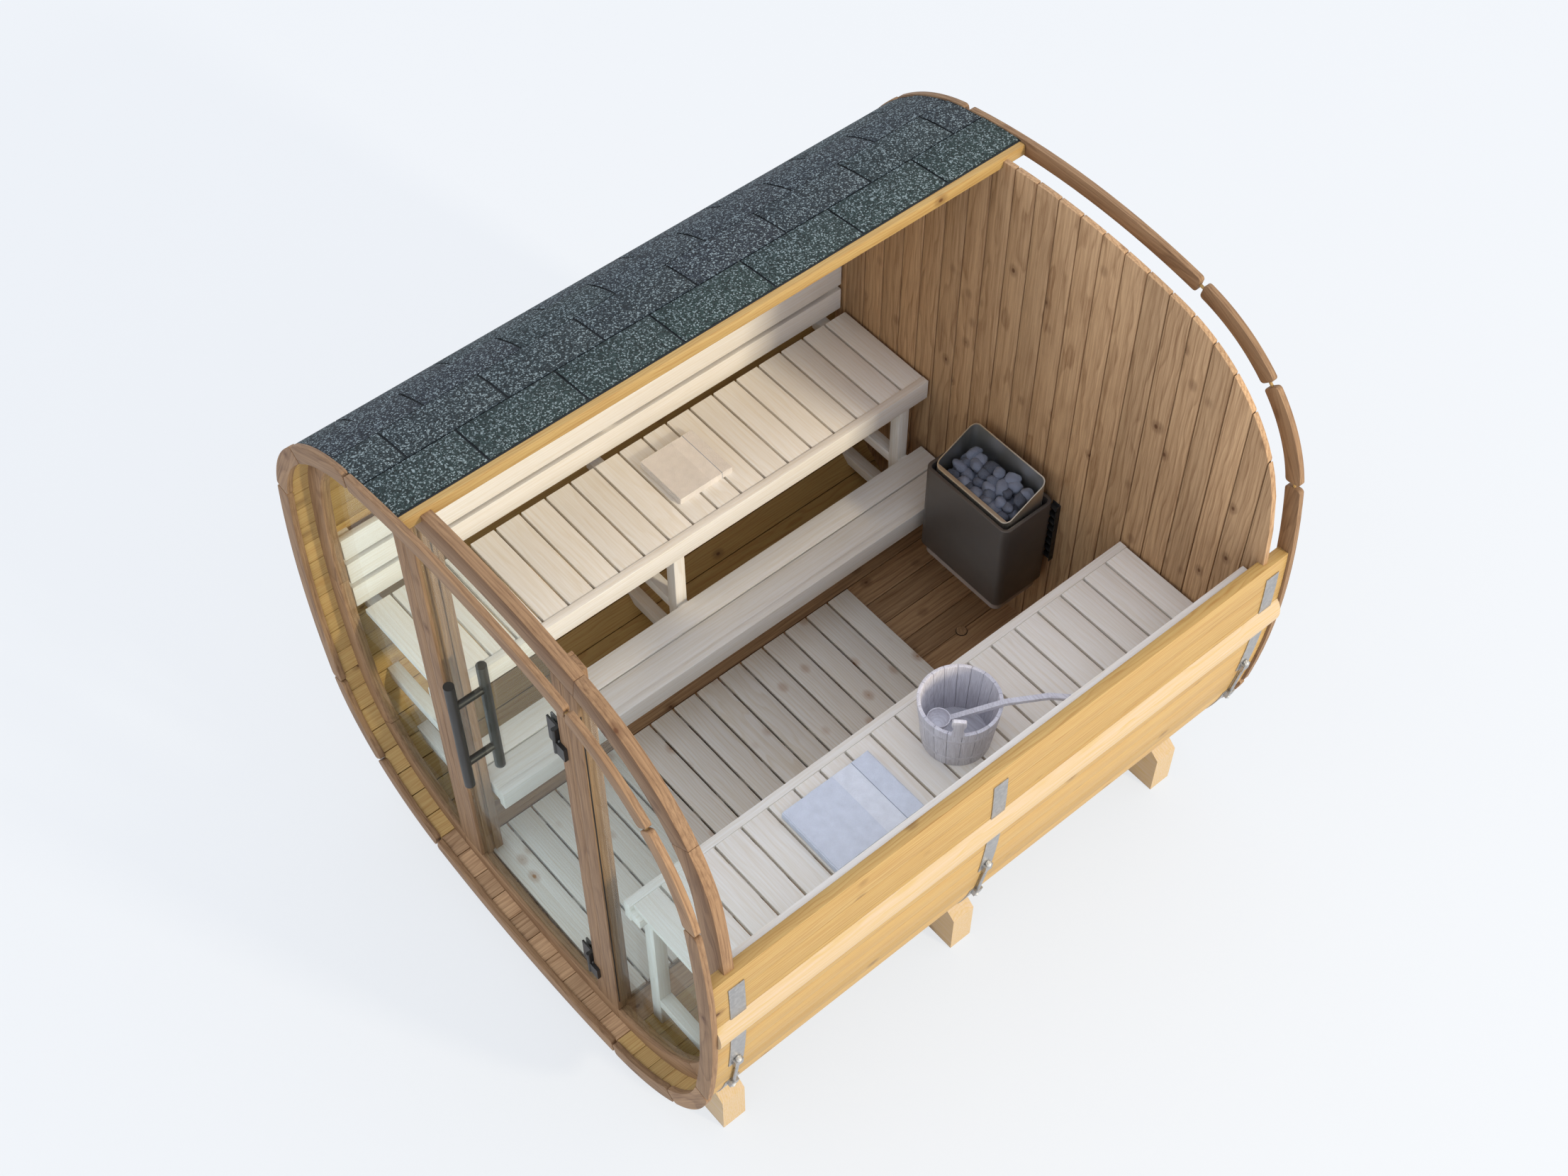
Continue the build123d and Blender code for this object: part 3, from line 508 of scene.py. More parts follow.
# How each finish is made, its colours, and then the values that its function asks for
FINISHES = {
    # Planed pine is golden, with brown late wood. Weather hasn't greyed it
    "planed_pine": (planed_wood, "pine pine_late pine_knot", 8, 0.2, 0.16, 0.55, 0.45),
    # Inside, the pine is a second copy with a redder, stronger figure and darker late wood, which
    # is partly painted shade for the shaded rear wall and floor
    "planed_inner_pine_painted_shade": (planed_wood, "inner inner_late pine_knot", 12, 0.25, 0.22, 0.6, 0.35),
    # Trim is darker and has fewer knots; its darker brown is partly painted shade for the front
    # faces of the rings, frames and posts
    "planed_trim_pine_painted_shade": (planed_wood, "trim trim_late pine_knot", 12, 0.12, 0.16, 0.6, 0.35),
    # Beams and rails keep their CAD shape, so their grain runs along x or y
    "planed_pale_pine_x": (planed_wood, "pine_pale pine pine_knot", 9, 0.06, 0.05, 0.55, 0.4, 0),
    "planed_pale_pine_y": (planed_wood, "pine_pale pine pine_knot", 9, 0.06, 0.05, 0.55, 0.4, 1),
    # A tongue lies deep in its joint; its dark, matt brown is painted shade, standing for the
    # shadow deep in the joint
    "pine_tongue_painted_joint_shade": (planed_wood, "groove groove groove", 9, 0, 0.1, 0.9, 0.3),
    # Planed aspen has no knots and hardly any figure, and looks creamy white
    "planed_aspen": (planed_wood, "aspen aspen_late honey", 11, 0.0, 0.06, 0.5, 0.3),
    # Planed spruce shows honey knots in pale wood
    "planed_spruce": (planed_wood, "aspen aspen_late honey", 9, 0.45, 0.07, 0.55, 0.55),
    # Thin whitewash lets a little of the spruce's grain through
    "whitewashed_spruce": (planed_wood, "wash wash_late wash_late", 5, 0.0, 0.1, 0.6, 0.35),
    "whitewashed_spruce_x": (planed_wood, "wash wash_late wash_late", 5, 0.0, 0.05, 0.6, 0.35, 0),
    "slated_felt": (mineral_felt, "slate moss fleck"),
    # Bare bitumen: dark felt that shows in the shingles' joints, partly painted shadow at the tabs'
    # edges
    "bitumen_and_painted_joint_shadow": (smooth_skin, "tar", 0.8),
    "powder_coated_steel": (smooth_skin, "iron"),
    # Satin coats let some of the steel's own sheen through
    "satin_case_steel": (smooth_skin, "case", 0.36, 0.6),
    "satin_base_steel": (smooth_skin, "band", 0.4, 0.3),
    "moulded_rubber": (smooth_skin, "rubber", 0.7),
    "brushed_stainless": (drawn_metal, "steel", 0.38),
    "galvanised_steel": (drawn_metal, "zinc", 0.42, 9),
    "toughened_glass": (float_glass, "glass"),
    "split_olivine": (olivine_stone, "stone stone_light"),
    "terry_towel_blue": (looped_cotton, "blue blue_band seam", "towel_blue"),
    "terry_towel_beige": (looped_cotton, "beige beige_band seam", "towel_beige"),
    "pale_floor": (matt_paper, ""),
}


def finish(name):
    """The material of this name, made when it is first asked for."""
    if name not in bpy.data.materials:
        make, palette, *values = FINISHES[name]
        tints = [getattr(bpy.context.scene.sauna_colours, key) for key in palette.split()]
        material = bpy.data.materials.new(name)
        material.use_nodes = True
        tree = material.node_tree
        tree.nodes.clear()
        add(tree, "OutputMaterial", {"Surface": make(tree, *tints, *values)})
    return bpy.data.materials[name]


def swatch(name, code, about):
    return FloatVectorProperty(name=name, description=about, subtype="COLOR", size=4,
                               min=0, max=1, default=linear(code))


def size_mm(name, value, about):
    return FloatProperty(name=name, description=about, default=value * MM, unit="LENGTH", min=0)


class SaunaColours(bpy.types.PropertyGroup):
    """Colours of the finishes."""
    pine: swatch("Pine", "C2A468", "Pale early wood of the outer staves")
    pine_late: swatch("Pine late wood", "A87E45", "Dark bands in the outer staves")
    pine_pale: swatch("Pale pine", "C9B399", "Early wood of the rails and beams")
    # Inner colours: a redder copy of the pine whose darker late wood is partly painted shade for
    # the rear wall and floor
    inner: swatch("Inner pine", "CDA87E", "Early wood of the rear wall and floor")
    inner_late: swatch("Inner late wood", "8A6543", "Dark bands of the rear wall and floor")
    # Trim colours: a darker brown that is partly painted shade for the front faces of the rings,
    # frames and posts
    trim: swatch("Trim pine", "A5835F", "Early wood of the rings, frames and posts")
    trim_late: swatch("Trim late wood", "6F5036", "Dark bands of the rings, frames and posts")
    pine_knot: swatch("Knot", "5E3A20", "Knots in the pine")
    # Painted shade: this dark brown stands for the shadow deep in the board joints
    groove: swatch("Joint", "3A2A1C", "Tongues in the joints between the boards")
    aspen: swatch("Bench wood", "F4F1EB", "Pale early wood of the benches")
    aspen_late: swatch("Bench late wood", "E4DAC8", "Grain of the benches")
    honey: swatch("Honey knot", "A8743C", "Knots in the duckboard")
    wash: swatch("Whitewash", "DDDCE2", "Whitewashed wood of the bucket and ladle")
    wash_late: swatch("Whitewash grain", "B4AFB5", "Grain of the whitewashed wood")
    slate: swatch("Slate", "252B32", "Blue grey granules of the shingles")
    moss: swatch("Green slate", "22342F", "Green granules of the shingles")
    fleck: swatch("Slate fleck", "9AA8A7", "Palest granules of the shingles")
    # Partly painted shadow: the dark felt in the shingles' joints stands for the shadow at the
    # tabs' edges
    tar: swatch("Bitumen", "141A1F", "Bare felt in the joints of the shingles")
    iron: swatch("Black coat", "252423", "Coat of the hinges, handle and bracket")
    rubber: swatch("Rubber", "161616", "Seals of the panes")
    case: swatch("Heater case", "605C5A", "Satin coat of the heater")
    band: swatch("Heater base", "A39790", "Brushed base of the heater")
    zinc: swatch("Zinc", "B9B8B8", "Galvanised straps")
    steel: swatch("Stainless steel", "E4E4E2", "Heater collar and fittings")
    glass: swatch("Glass", "F7FBFA", "Tint of the glass")
    stone: swatch("Stone", "343842", "Dark crystals of the heater stones")
    stone_light: swatch("Light stone", "777D8C", "Light crystals of the heater stones")
    blue: swatch("Blue towel", "D8DEEA", "Blue towelling")
    blue_band: swatch("Blue border", "E4E8F0", "Woven border of the blue towel")
    beige: swatch("Beige towel", "E9E1D8", "Beige towelling")
    beige_band: swatch("Beige border", "F0E8DF", "Woven border of the beige towel")
    seam: swatch("Seam", "8C94A2", "Stitched line at the border of a towel")


class SaunaSizes(bpy.types.PropertyGroup):
    """Sizes that the CAD solids leave to the looks."""
    stave_width: size_mm("Stave width", 95, "Width of a stave round the barrel")
    wall_board: size_mm("Wall board", 92, "Width of a rear wall board")
    joint: size_mm("Joint", 2.5, "Bevel of the boards' edges at a joint")
    tab: size_mm("Shingle tab", 333, "Width of a shingle tab")
    exposure: size_mm("Shingle exposure", 161, "Visible height of a shingle course")
    slat_pitch: size_mm("Slat pitch", 102.6, "From one bench slat to the next")
    slat: size_mm("Slat", 94, "Width of a bench slat")
    stone: size_mm("Stone", 62, "Usual size of a heater stone")
    seam: size_mm("Joint gap", 2.4, "Gap between the faces of two boards")
    bucket_staves: IntProperty(name="Bucket staves", default=18, min=6,
                               description="How many staves the bucket has")


def sizes():
    return bpy.context.scene.sauna_sizes


# Pieces

class SAUNA_OT_staves(bpy.types.Operator):
    """Lays the barrel's staves, one object for each side and corner"""
    bl_idname = "sauna.staves"
    bl_label = "Staves"

    def execute(self, context):
        low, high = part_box("shell_floor")
        y0, y1, inset, nose = low[1], high[1], 3 * MM, 6 * MM
        roof_edge, wall_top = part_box("shell_roof")[1][0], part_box("shell_wall_right")[1][2]
        cut = 90 + degrees(asin(-roof_edge / (TOP_RADIUS - (STAVE_OUT + STAVE_IN) / 2)))
        spans = {
            "roof": (cut, 180 - TOP_TURN),
            "corner_top_left": (180 - TOP_TURN, 180 - SIDE_TURN),
            "wall_left": (180 - SIDE_TURN, 180 + SIDE_TURN),
            "corner_bottom_left": (180 + SIDE_TURN, 180 + TOP_TURN),
            "floor": (180 + TOP_TURN, 360 - TOP_TURN),
            "corner_bottom_right": (360 - TOP_TURN, 360 - SIDE_TURN),
            "wall_right": (-SIDE_TURN, facing_of_height(wall_top, STAVE_OUT)),
        }
        for seed, (side, (start, end)) in enumerate(spans.items()):
            boards, tongue = Boards(seed, sizes().joint), Boards(200 + seed, 1 * MM)
            marks = facings_apart(start, end, sizes().stave_width, STAVE_OUT)
            # The right wall is planed flush outside, so its joints hardly show
            flush = side == "wall_right"
            half = 0.3 * MM if flush else sizes().seam / 2
            for a, b in zip(marks, marks[1:]):
                edge = 1 * MM if flush else nose if side == "roof" and a == start else None
                boards.stave(moved(a, half), moved(b, -half), STAVE_OUT, STAVE_IN, y0, y1, edge)
            # The floor takes the inside copy of the pine, which is partly painted shade
            wood = "planed_inner_pine_painted_shade" if side == "floor" else "planed_pine"
            boards.piece(f"staves_{side}", wood, "pine_staves", f"shell_{side}")
            # A dark tongue lies behind the joints between the staves: painted shade seen through
            # the gaps
            a = moved(start, nose) if side == "roof" else start
            b = moved(end, -nose) if flush else end
            tongue.stave(a, b, 26 * MM, 34 * MM, y0 + inset, y1 - inset)
            tongue.piece(f"tongues_{side}", "pine_tongue_painted_joint_shade", "pine_staves")
        return {"FINISHED"}


class SAUNA_OT_shingles(bpy.types.Operator):
    """Lays the courses of shingle tabs on bare felt, with a dark joint round each tab that is
    partly painted shadow
    """
    bl_idname = "sauna.shingles"
    bl_label = "Shingles"

    def execute(self, context):
        low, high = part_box("roof_shingles")
        start = 90 + degrees(asin(-high[0] / (TOP_RADIUS - STAVE_OUT)))
        end = max(turn for turn in steps(start, 190, 0.1) if spot(turn, STAVE_OUT).z > low[2])
        felt_top = STAVE_OUT - 1 * MM
        # The dark felt under the tabs is partly painted shadow, showing in the joints round every
        # tab
        under = Boards(30, 0.3 * MM)
        under.stave(start, end, felt_top, STAVE_OUT, low[1], high[1])
        under.piece("shingle_underlay", "bitumen_and_painted_joint_shadow", "bitumen_shingle")
        # The gaps between tabs and between courses show the dark felt, partly painted shadow at the
        # tabs' edges
        thickness, half_slot, joint, least = 2.6 * MM, 3.5 * MM, 7 * MM, 10 * MM
        first_slots = (299 * MM, 145 * MM)
        boards, tab = Boards(31, 0.6 * MM), sizes().tab
        courses = facings_every(start, end, sizes().exposure, STAVE_OUT)
        for row, (a, b) in enumerate(zip(courses, courses[1:])):
            y = low[1] + first_slots[row % 2] - 2 * tab
            while y < high[1]:
                y0, y1 = max(y + half_slot, low[1]), min(y + tab - half_slot, high[1])
                y += tab
                if y1 - y0 < least:
                    continue
                turns = steps(moved(a, joint), b, 2)
                rings, marks = [], []
                for turn in turns:
                    # A tab rises by its own thickness from its upper edge to its lower one
                    rise = (turn - turns[0]) / (turns[-1] - turns[0])
                    top = felt_top - thickness - thickness * rise
                    foot = top + thickness
                    loop = [(top, y0), (top, y1), (foot, y1), (foot, y0)]
                    rings.append([spot(turn, depth, at) for depth, at in loop])
                    marks.append([(turn, depth, at) for depth, at in loop])
                pick = boards.random.random()
                tone = 0.65 + 0.35 * pick if row == 0 else 0.4 * pick * pick
                boards.loft(rings, marks, tone=tone)
        boards.piece("shingles", "slated_felt", "bitumen_shingle", "roof_shingles")
        return {"FINISHED"}


class SAUNA_OT_rings(bpy.types.Operator):
    """Makes the rings of rounded fascia boards at both ends"""
    bl_idname = "sauna.rings"
    bl_label = "Fascia rings"

    def execute(self, context):
        joints, turns = [], (12.0, 45.5, TOP_TURN)
        for half in (0, 180):
            joints += [half + turn for turn in turns]
            joints += [half + 180 - turn for turn in turns[::-1]]
        spans = list(zip(joints, joints[1:] + [360 + turns[0]]))
        rounding, overlap, dowel = 12 * MM, 2 * MM, 5 * MM
        for seed, (end, gap) in enumerate((("front", 8 * MM), ("rear", 18 * MM))):
            for turn, letter in enumerate("ab"):
                node = f"{end}_fascia_boards_{letter}"
                low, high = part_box(node)
                boards = Boards(41 + 2 * seed + turn, 3 * MM)
                for start, stop in spans[turn::2]:
                    boards.bent(moved(start, gap / 2), moved(stop, -gap / 2), 0, RING_DEPTH,
                                low[1], high[1], rounding)
                # The rings take the darker trim pine, which is partly painted shade
                boards.piece(f"{end}_ring_{letter}", "planed_trim_pine_painted_shade", "pine_trim", node)
            # Dowels hold the boards over the cut, where no staves carry them
            dowels, y = Boards(47 + seed), (low[1] + high[1]) / 2
            for joint in joints[:3]:
                tail, head = (spot(moved(joint, way * (gap / 2 + overlap)), RING_DEPTH / 2, y)
                              for way in (-1, 1))
                dowels.rod(tail, head, dowel)
            dowels.piece(f"{end}_ring_dowels", "planed_pine", "pine_trim")
        return {"FINISHED"}


class SAUNA_OT_front(bpy.types.Operator):
    """Makes the front frame, its posts, sill, seals and fixed panes"""
    bl_idname = "sauna.front"
    bl_label = "Front"

    def execute(self, context):
        low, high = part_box("front_frame_right")
        y0, y1 = low[1], high[1]
        inner = WALL_EDGE + FRAME_DEPTH
        turn = 90 - degrees(asin(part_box("front_header")[1][0] / (TOP_RADIUS - WALL_EDGE)))
        spans = {"front_frame_right": (-turn, turn), "front_header": (turn, 180 - turn),
                 "front_frame_left": (180 - turn, 180 + turn),
                 "front_sill": (180 + turn, 360 - turn)}
        for seed, (node, (start, end)) in enumerate(spans.items()):
            boards = Boards(51 + seed, 3 * MM)
            middle, cuts = (start + end) / 2, [start, end]
            if "frame" in node:
                cuts = [start, middle - 34, middle, middle + 34, end]
            for a, b in zip(cuts, cuts[1:]):
                boards.bent(a, b, WALL_EDGE, inner, y0, y1)
            # The frames take the darker trim pine, which is partly painted shade
            boards.piece(node.replace("front_frame", "curved_frame"), "planed_trim_pine_painted_shade",
                         "pine_trim", node)
        self.posts(y0, y1, inner)
        dress("toughened_glass", "front_side_glass")
        return {"FINISHED"}

    def posts(self, y0, y1, inner):
        """Door posts, built up in strips from x to x and from y to y, and the seals."""
        (_, front, _), (side_edge, rear, _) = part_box("front_posts")
        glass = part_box("door_glass")
        stop, jamb, split = 308 * MM, 320 * MM, 373 * MM
        groove, groove_end, back = y0 + 40 * MM, y0 + 40 * MM + 11 * MM, y1 + 2 * MM
        strips = (
            (jamb, split, front, rear),
            (split, side_edge, front, back),
            (stop, jamb, glass[1][1] + 6 * MM, groove),
            (stop + 6 * MM, jamb, groove, groove_end),
            (stop, jamb, groove_end, rear),
            (split, side_edge - 10 * MM, back, rear - 20 * MM),
        )
        boards, head = Boards(61), TOP_RADIUS - inner
        for side in (-1, 1):
            for x0, x1, near, far in strips:
                # Both ends are cut to the curve of the header and the sill
                rims = [(x, TOP_Z + head * cos(asin(x / head))) for x in (x0, (x0 + x1) / 2, x1)]
                top = [(side * x, MIDDLE + z) for x, z in rims]
                foot = [(side * x, MIDDLE - z) for x, z in rims[::-1]]
                boards.plate(top + foot, near, far)
        # The posts take the darker trim pine, which is partly painted shade
        boards.piece("door_posts", "planed_trim_pine_painted_shade", "pine_trim", "front_posts")
        seal, start = Boards(62, 1 * MM), 90 - degrees(asin(stop / head))
        for k in range(3):
            y = glass[1][1] + (6 + 9 * k) * MM
            seal.bent(start, 180 - start, inner, inner + 9 * MM, y, y + 6 * MM)
        foot, top = 0.25, MIDDLE + 0.8
        for side in (-1, 1):
            edge = side * (side_edge + 1.5 * MM)
            seal.box((edge, glass[0][1] - 4 * MM, foot),
                     (edge - side * 3 * MM, glass[0][1], top), 2)
        seal.piece("glass_seals", "moulded_rubber", "black_metal")


class SAUNA_OT_door(bpy.types.Operator):
    """Finishes the glass door, its handle and hinges"""
    bl_idname = "sauna.door"
    bl_label = "Door"

    def execute(self, context):
        dress("toughened_glass", "door_glass")
        dress("powder_coated_steel", "door_handle", "door_hinge_clamps", "door_hinge_pins")
        return {"FINISHED"}


class SAUNA_OT_rear_wall(bpy.types.Operator):
    """Makes the rear wall of upright boards"""
    bl_idname = "sauna.rear_wall"
    bl_label = "Rear wall"

    def execute(self, context):
        low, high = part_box("rear_wall")
        width = high[0] - low[0]
        count = round(width / sizes().wall_board)
        boards, tongues = Boards(71, sizes().joint), Boards(72, 0.5 * MM)
        half_gap, half_wide, half_thick, drop = 0.8 * sizes().seam, 5 * MM, 3 * MM, 8 * MM
        rim = [(p.x, p.z) for p in (spot(turn, WALL_EDGE) for turn in steps(0, 180, 0.5))]
        middle = (low[1] + high[1]) / 2

        def upright(gather, x0, x1, y0, y1, drop):
            tops = [(x, self.height(rim, x) - drop)
                    for x in [x0 + (x1 - x0) * t / 4 for t in range(5)]]
            gather.plate(tops + [(x, 2 * MIDDLE - z) for x, z in tops[::-1]], y0, y1)

        for k in range(count):
            x0, x1 = (low[0] + width * edge / count for edge in (k, k + 1))
            upright(boards, x0 + half_gap, x1 - half_gap, low[1], high[1], 0)
            # A dark tongue lies behind each joint of the rear wall: painted shade seen through the
            # gaps
            if k:
                upright(tongues, x0 - half_wide, x0 + half_wide, middle - half_thick,
                        middle + half_thick, drop)
        # The rear wall takes the inside copy of the pine, which is partly painted shade
        boards.piece("rear_wall_boards", "planed_inner_pine_painted_shade", "pine_staves", "rear_wall")
        tongues.piece("rear_wall_tongues", "pine_tongue_painted_joint_shade", "pine_staves")
        return {"FINISHED"}

    def height(self, rim, x):
        """Height of the section's upper edge at this x."""
        for (ax, az), (bx, bz) in zip(rim, rim[1:]):
            if bx <= x <= ax:
                return az + (bz - az) * (ax - x) / max(ax - bx, 1e-9)
        return MIDDLE + 20 * MM


def lay_slats(boards, low, high, under):
    """Slats across the barrel, from the rear end of a bench or the duckboard on."""
    pitch, width = sizes().slat_pitch, sizes().slat
    for k in range(round((high[1] - low[1] + pitch - width) / pitch)):
        y1 = high[1] - k * pitch
        boards.box((low[0], y1 - width, under), (high[0], y1, high[2]), 0)


class SAUNA_OT_benches(bpy.types.Operator):
    """Makes the slatted benches, their frames, the backrests and the lower bench"""
    bl_idname = "sauna.benches"
    bl_label = "Benches"

    TIMBER = 45 * MM
    RAIL = 30 * MM
    LEGS = (950 * MM, -65 * MM, -965 * MM)

    def execute(self, context):
        for seed, (side, word) in enumerate(((-1, "left"), (1, "right"))):
            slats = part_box(f"bench_{word}_slats")
            seat = Boards(81 + seed)
            lay_slats(seat, *slats, slats[0][2])
            self.joined(seat, f"{word}_seat_slats", f"bench_{word}_slats")
            self.frame(seed, side, word, *slats)
            self.backrest(seed, side, word, slats[1][2])
        low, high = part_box("bench_lower_boards")
        middle, half_gap = (low[0] + high[0]) / 2, 3 * MM
        boards = Boards(95)
        boards.box(low, (middle - half_gap, high[1], high[2]), 1)
        boards.box((middle + half_gap, low[1], low[2]), high, 1)
        self.joined(boards, "lower_seat_boards", "bench_lower_boards")
        return {"FINISHED"}

    def joined(self, boards, name, node):
        boards.piece(name, "planed_aspen", "bench_wood", node)

    def frame(self, seed, side, word, seat_low, seat_high):
        """Front rail, legs and bearers under a bench. The left one carries the lower bench."""
        node = f"bench_{word}_frame"
        low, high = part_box(node)
        inner = min(abs(seat_low[0]), abs(seat_high[0]))
        outer, under, rest = inner + self.TIMBER, seat_low[2], 275 * MM
        boards = Boards(85 + seed)

        def bar(x0, x1, y0, y1, z0, z1, along):
            boards.box((side * x0, y0, z0), (side * x1, y1, z1), along)

        bar(inner - self.RAIL, inner, low[1], high[1], high[2] - 86 * MM, high[2], 1)
        bar(inner, outer, low[1], high[1], under - self.TIMBER, under, 1)
        foot = self.shell_floor(inner + self.TIMBER / 2)
        for y in self.LEGS:
            y0, y1 = y - self.TIMBER / 2, y + self.TIMBER / 2
            self.cross(boards, side, outer, y0, y1, under - self.TIMBER, under)
            bar(inner, outer, y0, y1, foot, under - self.TIMBER, 2)
            self.cross(boards, side, outer, y0, y1, rest, rest + self.TIMBER)
        self.joined(boards, f"{word}_bench_frame", node)
        if word == "left":
            boards = Boards(89)
            low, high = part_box("bench_lower_boards")
            near, under = abs(high[0]), low[2]
            bar(near - self.RAIL, near, low[1], high[1], high[2] - 83 * MM, high[2] + 3 * MM, 1)
            for y in self.LEGS:
                y0, y1 = y - self.TIMBER / 2, y + self.TIMBER / 2
                bar(near, inner, y0, y1, under - self.TIMBER, under, 0)
                self.cross(boards, side, outer, y0, y1, under - self.TIMBER, under)
            self.joined(boards, "lower_bench_frame", "bench_lower_frame")

    def cross(self, boards, side, x, y0, y1, z0, z1):
        """Bar that runs out to the staves and is cut to them."""
        foot, top = (self.shell_side(z) for z in (z0, z1))
        boards.plate([(side * x, z0), (side * foot, z0), (side * top, z1), (side * x, z1)],
                     y0, y1, lying=True)

    def shell_side(self, z):
        """Half width inside the staves at this height."""
        inside = (spot(turn, STAVE_IN) for turn in steps(-90, 90, 0.2))
        return min(inside, key=lambda p: abs(p.z - z)).x

    def shell_floor(self, x):
        """Height of the floor inside the staves at this x."""
        inside = (spot(turn, STAVE_IN) for turn in steps(270, 350, 0.2))
        return min(inside, key=lambda p: abs(p.x - x)).z

    def backrest(self, seed, side, word, seat_top):
        """Three boards in front of three posts."""
        low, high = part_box(f"backrest_{word}")
        inner, outer = sorted((abs(low[0]), abs(high[0])))
        board, gap, thick, post = 96 * MM, 23 * MM, 22 * MM, 50 * MM
        boards = Boards(91 + seed)
        for k in range(3):
            z = seat_top + k * (board + gap)
            boards.box((side * inner, low[1], z),
                       (side * (inner + thick), high[1], z + board), 1)
        top = seat_top + 3 * board + 2 * gap - 5 * MM
        for y in (low[1], -post / 2, high[1] - post):
            boards.box((side * (inner + thick), y, low[2]),
                       (side * (outer - 1 * MM), y + post, top), 2)
        self.joined(boards, f"{word}_backrest", f"backrest_{word}")


class SAUNA_OT_duckboard(bpy.types.Operator):
    """Makes the duckboard on the floor"""
    bl_idname = "sauna.duckboard"
    bl_label = "Duckboard"

    def execute(self, context):
        low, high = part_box("duckboard")
        boards, under, half = Boards(101), high[2] - 20 * MM, 22 * MM
        lay_slats(boards, low, high, under)
        # The floor rises to its sides, so the outer runners are less deep
        for x, lift in ((-330 * MM, 24 * MM), (0, 2 * MM), (330 * MM, 24 * MM)):
            boards.box((x - half, low[1], low[2] + lift), (x + half, high[1], under), 1)
        boards.piece("duckboard_slats", "planed_spruce", "bench_wood", "duckboard")
        return {"FINISHED"}


def rounded_outline(low, high, radius, count=6):
    """Plan of a box with rounded corners, as a list of x and y."""
    outline = []
    (x0, y0), (x1, y1) = [v + radius for v in low[:2]], [v - radius for v in high[:2]]
    for cx, cy, start in ((x1, y1, 0), (x0, y1, 90), (x0, y0, 180), (x1, y0, 270)):
        for k in range(count + 1):
            turn = radians(start + 90 * k / count)
            outline.append((cx + radius * cos(turn), cy + radius * sin(turn)))
    return outline


class SAUNA_OT_heater(bpy.types.Operator):
    """Makes the heater: coated body, base, slanted collar, bracket and loose stones"""
    bl_idname = "sauna.heater"
    bl_label = "Heater"

    def execute(self, context):
        low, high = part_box("heater_body")
        corner, wall, depth = 28 * MM, 14 * MM, 140 * MM
        outside = rounded_outline(low, high, corner)
        inside = rounded_outline([v + wall for v in low], [v - wall for v in high], wall)
        levels = ((outside, low[2]), (outside, high[2]), (inside, high[2]),
                  (inside, high[2] - depth))
        case = Boards(111, 3 * MM)
        case.loft([[(x, y, z) for x, y in plan] for plan, z in levels], 0)
        case.piece("heater_case", "satin_case_steel", "black_metal", "heater_body")
        dress("satin_base_steel", "heater_base")
        dress("brushed_stainless", "heater_collar")
        self.bracket()
        self.stones()
        return {"FINISHED"}

    def bracket(self):
        """Bent wall bracket: a strip on the wall, a flange at its side and cross bars."""
        low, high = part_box("heater_bracket")
        boards, sheet, bars = Boards(113, 0.6 * MM), 3 * MM, 8
        boards.box((low[0], high[1] - sheet, low[2]), high, 2)
        boards.box((high[0] - sheet, low[1], low[2]), high, 2)
        for k in range(bars):
            z = low[2] + (high[2] - low[2]) * (k + 0.5) / bars
            boards.box((low[0], low[1], z - sheet), (high[0], high[1], z + sheet), 0)
        boards.piece("wall_bracket", "powder_coated_steel", "black_metal", "heater_bracket")

    def stones(self):
        """Three layers of stones, heaped up to the collar's slant."""
        low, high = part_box("heater_stones")
        pile, size = Boards(7), sizes().stone
        chance = pile.random.uniform
        slope, pitch, drop = 94 / 186, size * 0.8, size * 0.6
        across, deep = (ceil((high[k] - low[k]) / pitch) for k in (0, 1))
        for layer in range(3):
            for i in range(across):
                for j in range(deep):
                    u = (i + 0.5 + chance(-0.3, 0.3)) / across
                    v = (j + 0.5 + chance(-0.3, 0.3)) / deep
                    radius = size * chance(0.4, 0.56)
                    x = low[0] + radius + u * (high[0] - low[0] - 2 * radius)
                    y = low[1] + radius + v * (high[1] - low[1] - 2 * radius)
                    surface = high[2] - slope * (high[1] - y)
                    z = surface - radius * 0.8 - layer * drop + chance(-10, 4) * MM
                    self.stone(pile, Vector((x, y, z)), radius)
        pile.piece("stone_pile", "split_olivine", "sauna_stone", "heater_stones", smooth=70)

    def stone(self, pile, centre, radius):
        """Ball, flattened, turned and roughened by chance."""
        ball, rng = bmesh.new(), pile.random
        bmesh.ops.create_icosphere(ball, subdivisions=3, radius=1)
        squash = Vector([rng.uniform(*span) for span in ((0.8, 1.15), (0.7, 1.0), (0.6, 0.85))])
        angle = rng.uniform(0, 6.3)
        axis = Vector((rng.random(), rng.random(), rng.random() + 0.1))
        turn = Matrix.Rotation(angle, 3, axis)
        seed = Vector([rng.uniform(0, 99) for _ in range(3)])
        for vert in ball.verts:
            rough = noise.noise(vert.co * 1.1 + seed) * 0.3 + noise.noise(vert.co * 3 + seed) * 0.05
            place = Vector([vert.co[k] * squash[k] for k in range(3)]) * (1 + rough) * radius
            vert.co = centre + turn @ place
        pile.take(ball, rng.random())


